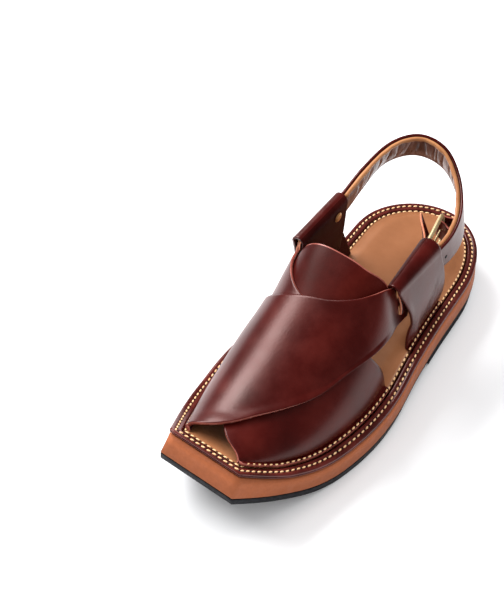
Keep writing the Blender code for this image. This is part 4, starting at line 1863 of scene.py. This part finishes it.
@dataclass
class Studio:
    """Floor, lights, world and camera."""

    camera_place: Point = (0.26394, -0.59044, 0.66558)
    yaw: float = -34.0526
    pitch: float = 47.7303
    roll: float = 3.7441
    focal_pixels: float = 1296.06
    picture_height: float = 600.0
    sensor: float = 36.0
    clip: Span = (0.01, 20.0)
    floor_size: float = 14.0
    floor_dark: Colour = (0.86, 0.86, 0.875)
    floor_light: Colour = (0.90, 0.90, 0.91)
    sky: float = 0.82
    mirrored_sky: float = 0.03
    lamps: tuple[Lamp, ...] = (
        Lamp("softbox", (-0.80, -0.12, 0.80), (0.0, -0.12, 0.06), (1.1, 0.42), 21.0, True),
        Lamp("key", (0.05, 0.75, 1.45), (0.0, -0.08, 0.0), (0.8, 0.8), 10.0, False),
    )

    def build(self) -> None:
        """Build the studio."""
        self.floor()
        self.world()
        for lamp in self.lamps:
            self.light(lamp)
        self.camera()

    def floor(self) -> None:
        """Lay the white floor."""
        bm = bmesh.new()
        bmesh.ops.create_grid(bm, x_segments=1, y_segments=1, size=self.floor_size / 2)
        bench = NodeBench("white_floor")
        stops = ((0.3, self.floor_dark), (0.7, self.floor_light))
        bench.join(bench.ramp(bench.noise(3.0, 2.0), stops), "Base Color")
        bench.set(Roughness=0.6, Specular_IOR_Level=0.2)
        mesh = bpy.data.meshes.new("floor")
        bm.to_mesh(mesh)
        bm.free()
        mesh.materials.append(bench.material)
        floor = bpy.data.objects.new("floor", mesh)
        bpy.context.scene.collection.objects.link(floor)

    def world(self) -> None:
        """Light the scene evenly from all round, and dimly where leather mirrors the sky."""
        world = bpy.data.worlds.new("studio")
        bpy.context.scene.world = world
        world.use_nodes = True
        tree = world.node_tree
        background = tree.nodes["Background"]
        background.inputs["Color"].default_value = (1.0, 1.0, 1.0, 1.0)
        path = tree.nodes.new("ShaderNodeLightPath")
        strength = tree.nodes.new("ShaderNodeMapRange")
        strength.inputs["To Min"].default_value = self.sky
        strength.inputs["To Max"].default_value = self.mirrored_sky
        tree.links.new(path.outputs["Is Glossy Ray"], strength.inputs["Value"])
        tree.links.new(strength.outputs["Result"], background.inputs["Strength"])

    def light(self, lamp: Lamp) -> None:
        """Hang a lamp.

        Args:
            lamp: the lamp.
        """
        data = bpy.data.lights.new(lamp.name, "AREA")
        data.shape = "RECTANGLE"
        data.size, data.size_y = lamp.size
        data.energy = lamp.power
        piece = bpy.data.objects.new(lamp.name, data)
        piece.location = lamp.place
        piece.rotation_mode = "QUATERNION"
        look = Vector(lamp.target) - Vector(lamp.place)
        piece.rotation_quaternion = look.to_track_quat("-Z", "Y")
        piece.visible_glossy = lamp.mirrored
        bpy.context.scene.collection.objects.link(piece)

    def camera(self) -> None:
        """Set the camera at the photograph's angle."""
        yaw, pitch, roll = (math.radians(a) for a in (self.yaw, self.pitch, self.roll))
        forward = Vector((
            math.sin(yaw) * math.cos(pitch), math.cos(yaw) * math.cos(pitch), -math.sin(pitch),
        ))
        right = Vector((math.cos(yaw), -math.sin(yaw), 0.0))
        up = right.cross(forward)
        rolled_right = right * math.cos(roll) + up * math.sin(roll)
        rolled_up = up * math.cos(roll) - right * math.sin(roll)
        data = bpy.data.cameras.new("camera")
        data.sensor_width = self.sensor
        data.lens = self.focal_pixels / self.picture_height * self.sensor
        data.clip_start, data.clip_end = self.clip
        camera = bpy.data.objects.new("camera", data)
        turn = Matrix((rolled_right, rolled_up, -forward)).transposed().to_4x4()
        camera.matrix_world = Matrix.Translation(self.camera_place) @ turn
        bpy.context.scene.collection.objects.link(camera)
        bpy.context.scene.camera = camera
        bpy.context.scene.view_settings.view_transform = "Standard"


def main() -> None:
    """Build the shoe and its studio."""
    logging.basicConfig(level=logging.INFO, format="%(name)s %(message)s")
    finishes = Finishes()
    sole = SoleForm()
    foot = FootForm(sole)
    Sole(sole, finishes).build()
    Upper(foot, finishes).build()
    lateral = Quarter(
        foot, finishes, Side.LATERAL,
        QuarterEnd(0.557, 0.564, 0.518, 0.291, 0.709, 1.04),
        QuarterEnd(0.720, 0.713, 0.694, 0.251, 0.643, 1.66),
        flap=1.07,
        creases=(
            Crease(0.52, 0.80, 0.04, 0.74, 0.035, 0.0011),
            Crease(0.66, 0.88, 0.04, 0.60, 0.030, 0.0010),
            Crease(0.36, 0.62, 0.02, 0.50, 0.040, 0.0008),
            Crease(0.60, 0.72, 0.10, 0.56, 0.050, -0.0006),
            Crease(0.00, 0.05, 0.02, 0.46, 0.070, 0.0018),
            Crease(0.00, 0.02, 0.36, 0.86, 0.070, -0.0012),
            Crease(0.18, 0.17, 0.02, 0.50, 0.055, -0.0010),
        ),
    )
    medial = Quarter(
        foot, finishes, Side.MEDIAL,
        QuarterEnd(0.537, 0.543, 0.501, 0.332, 0.746, 0.96),
        QuarterEnd(0.722, 0.700, 0.666, 0.336, 0.777, 1.04),
        flap=2.15,
        creases=(Crease(0.35, 0.60, 0.05, 0.60, 0.06, 0.0008),),
        flap_return=0.35,
        core_lean=-0.02,
    )
    lateral.build()
    medial.build()
    HeelStrap(sole, finishes).build()
    Buckle(lateral, medial, finishes).build()
    Stitching(foot, finishes).build()
    Studio().build()


if __name__ == "__main__":
    main()
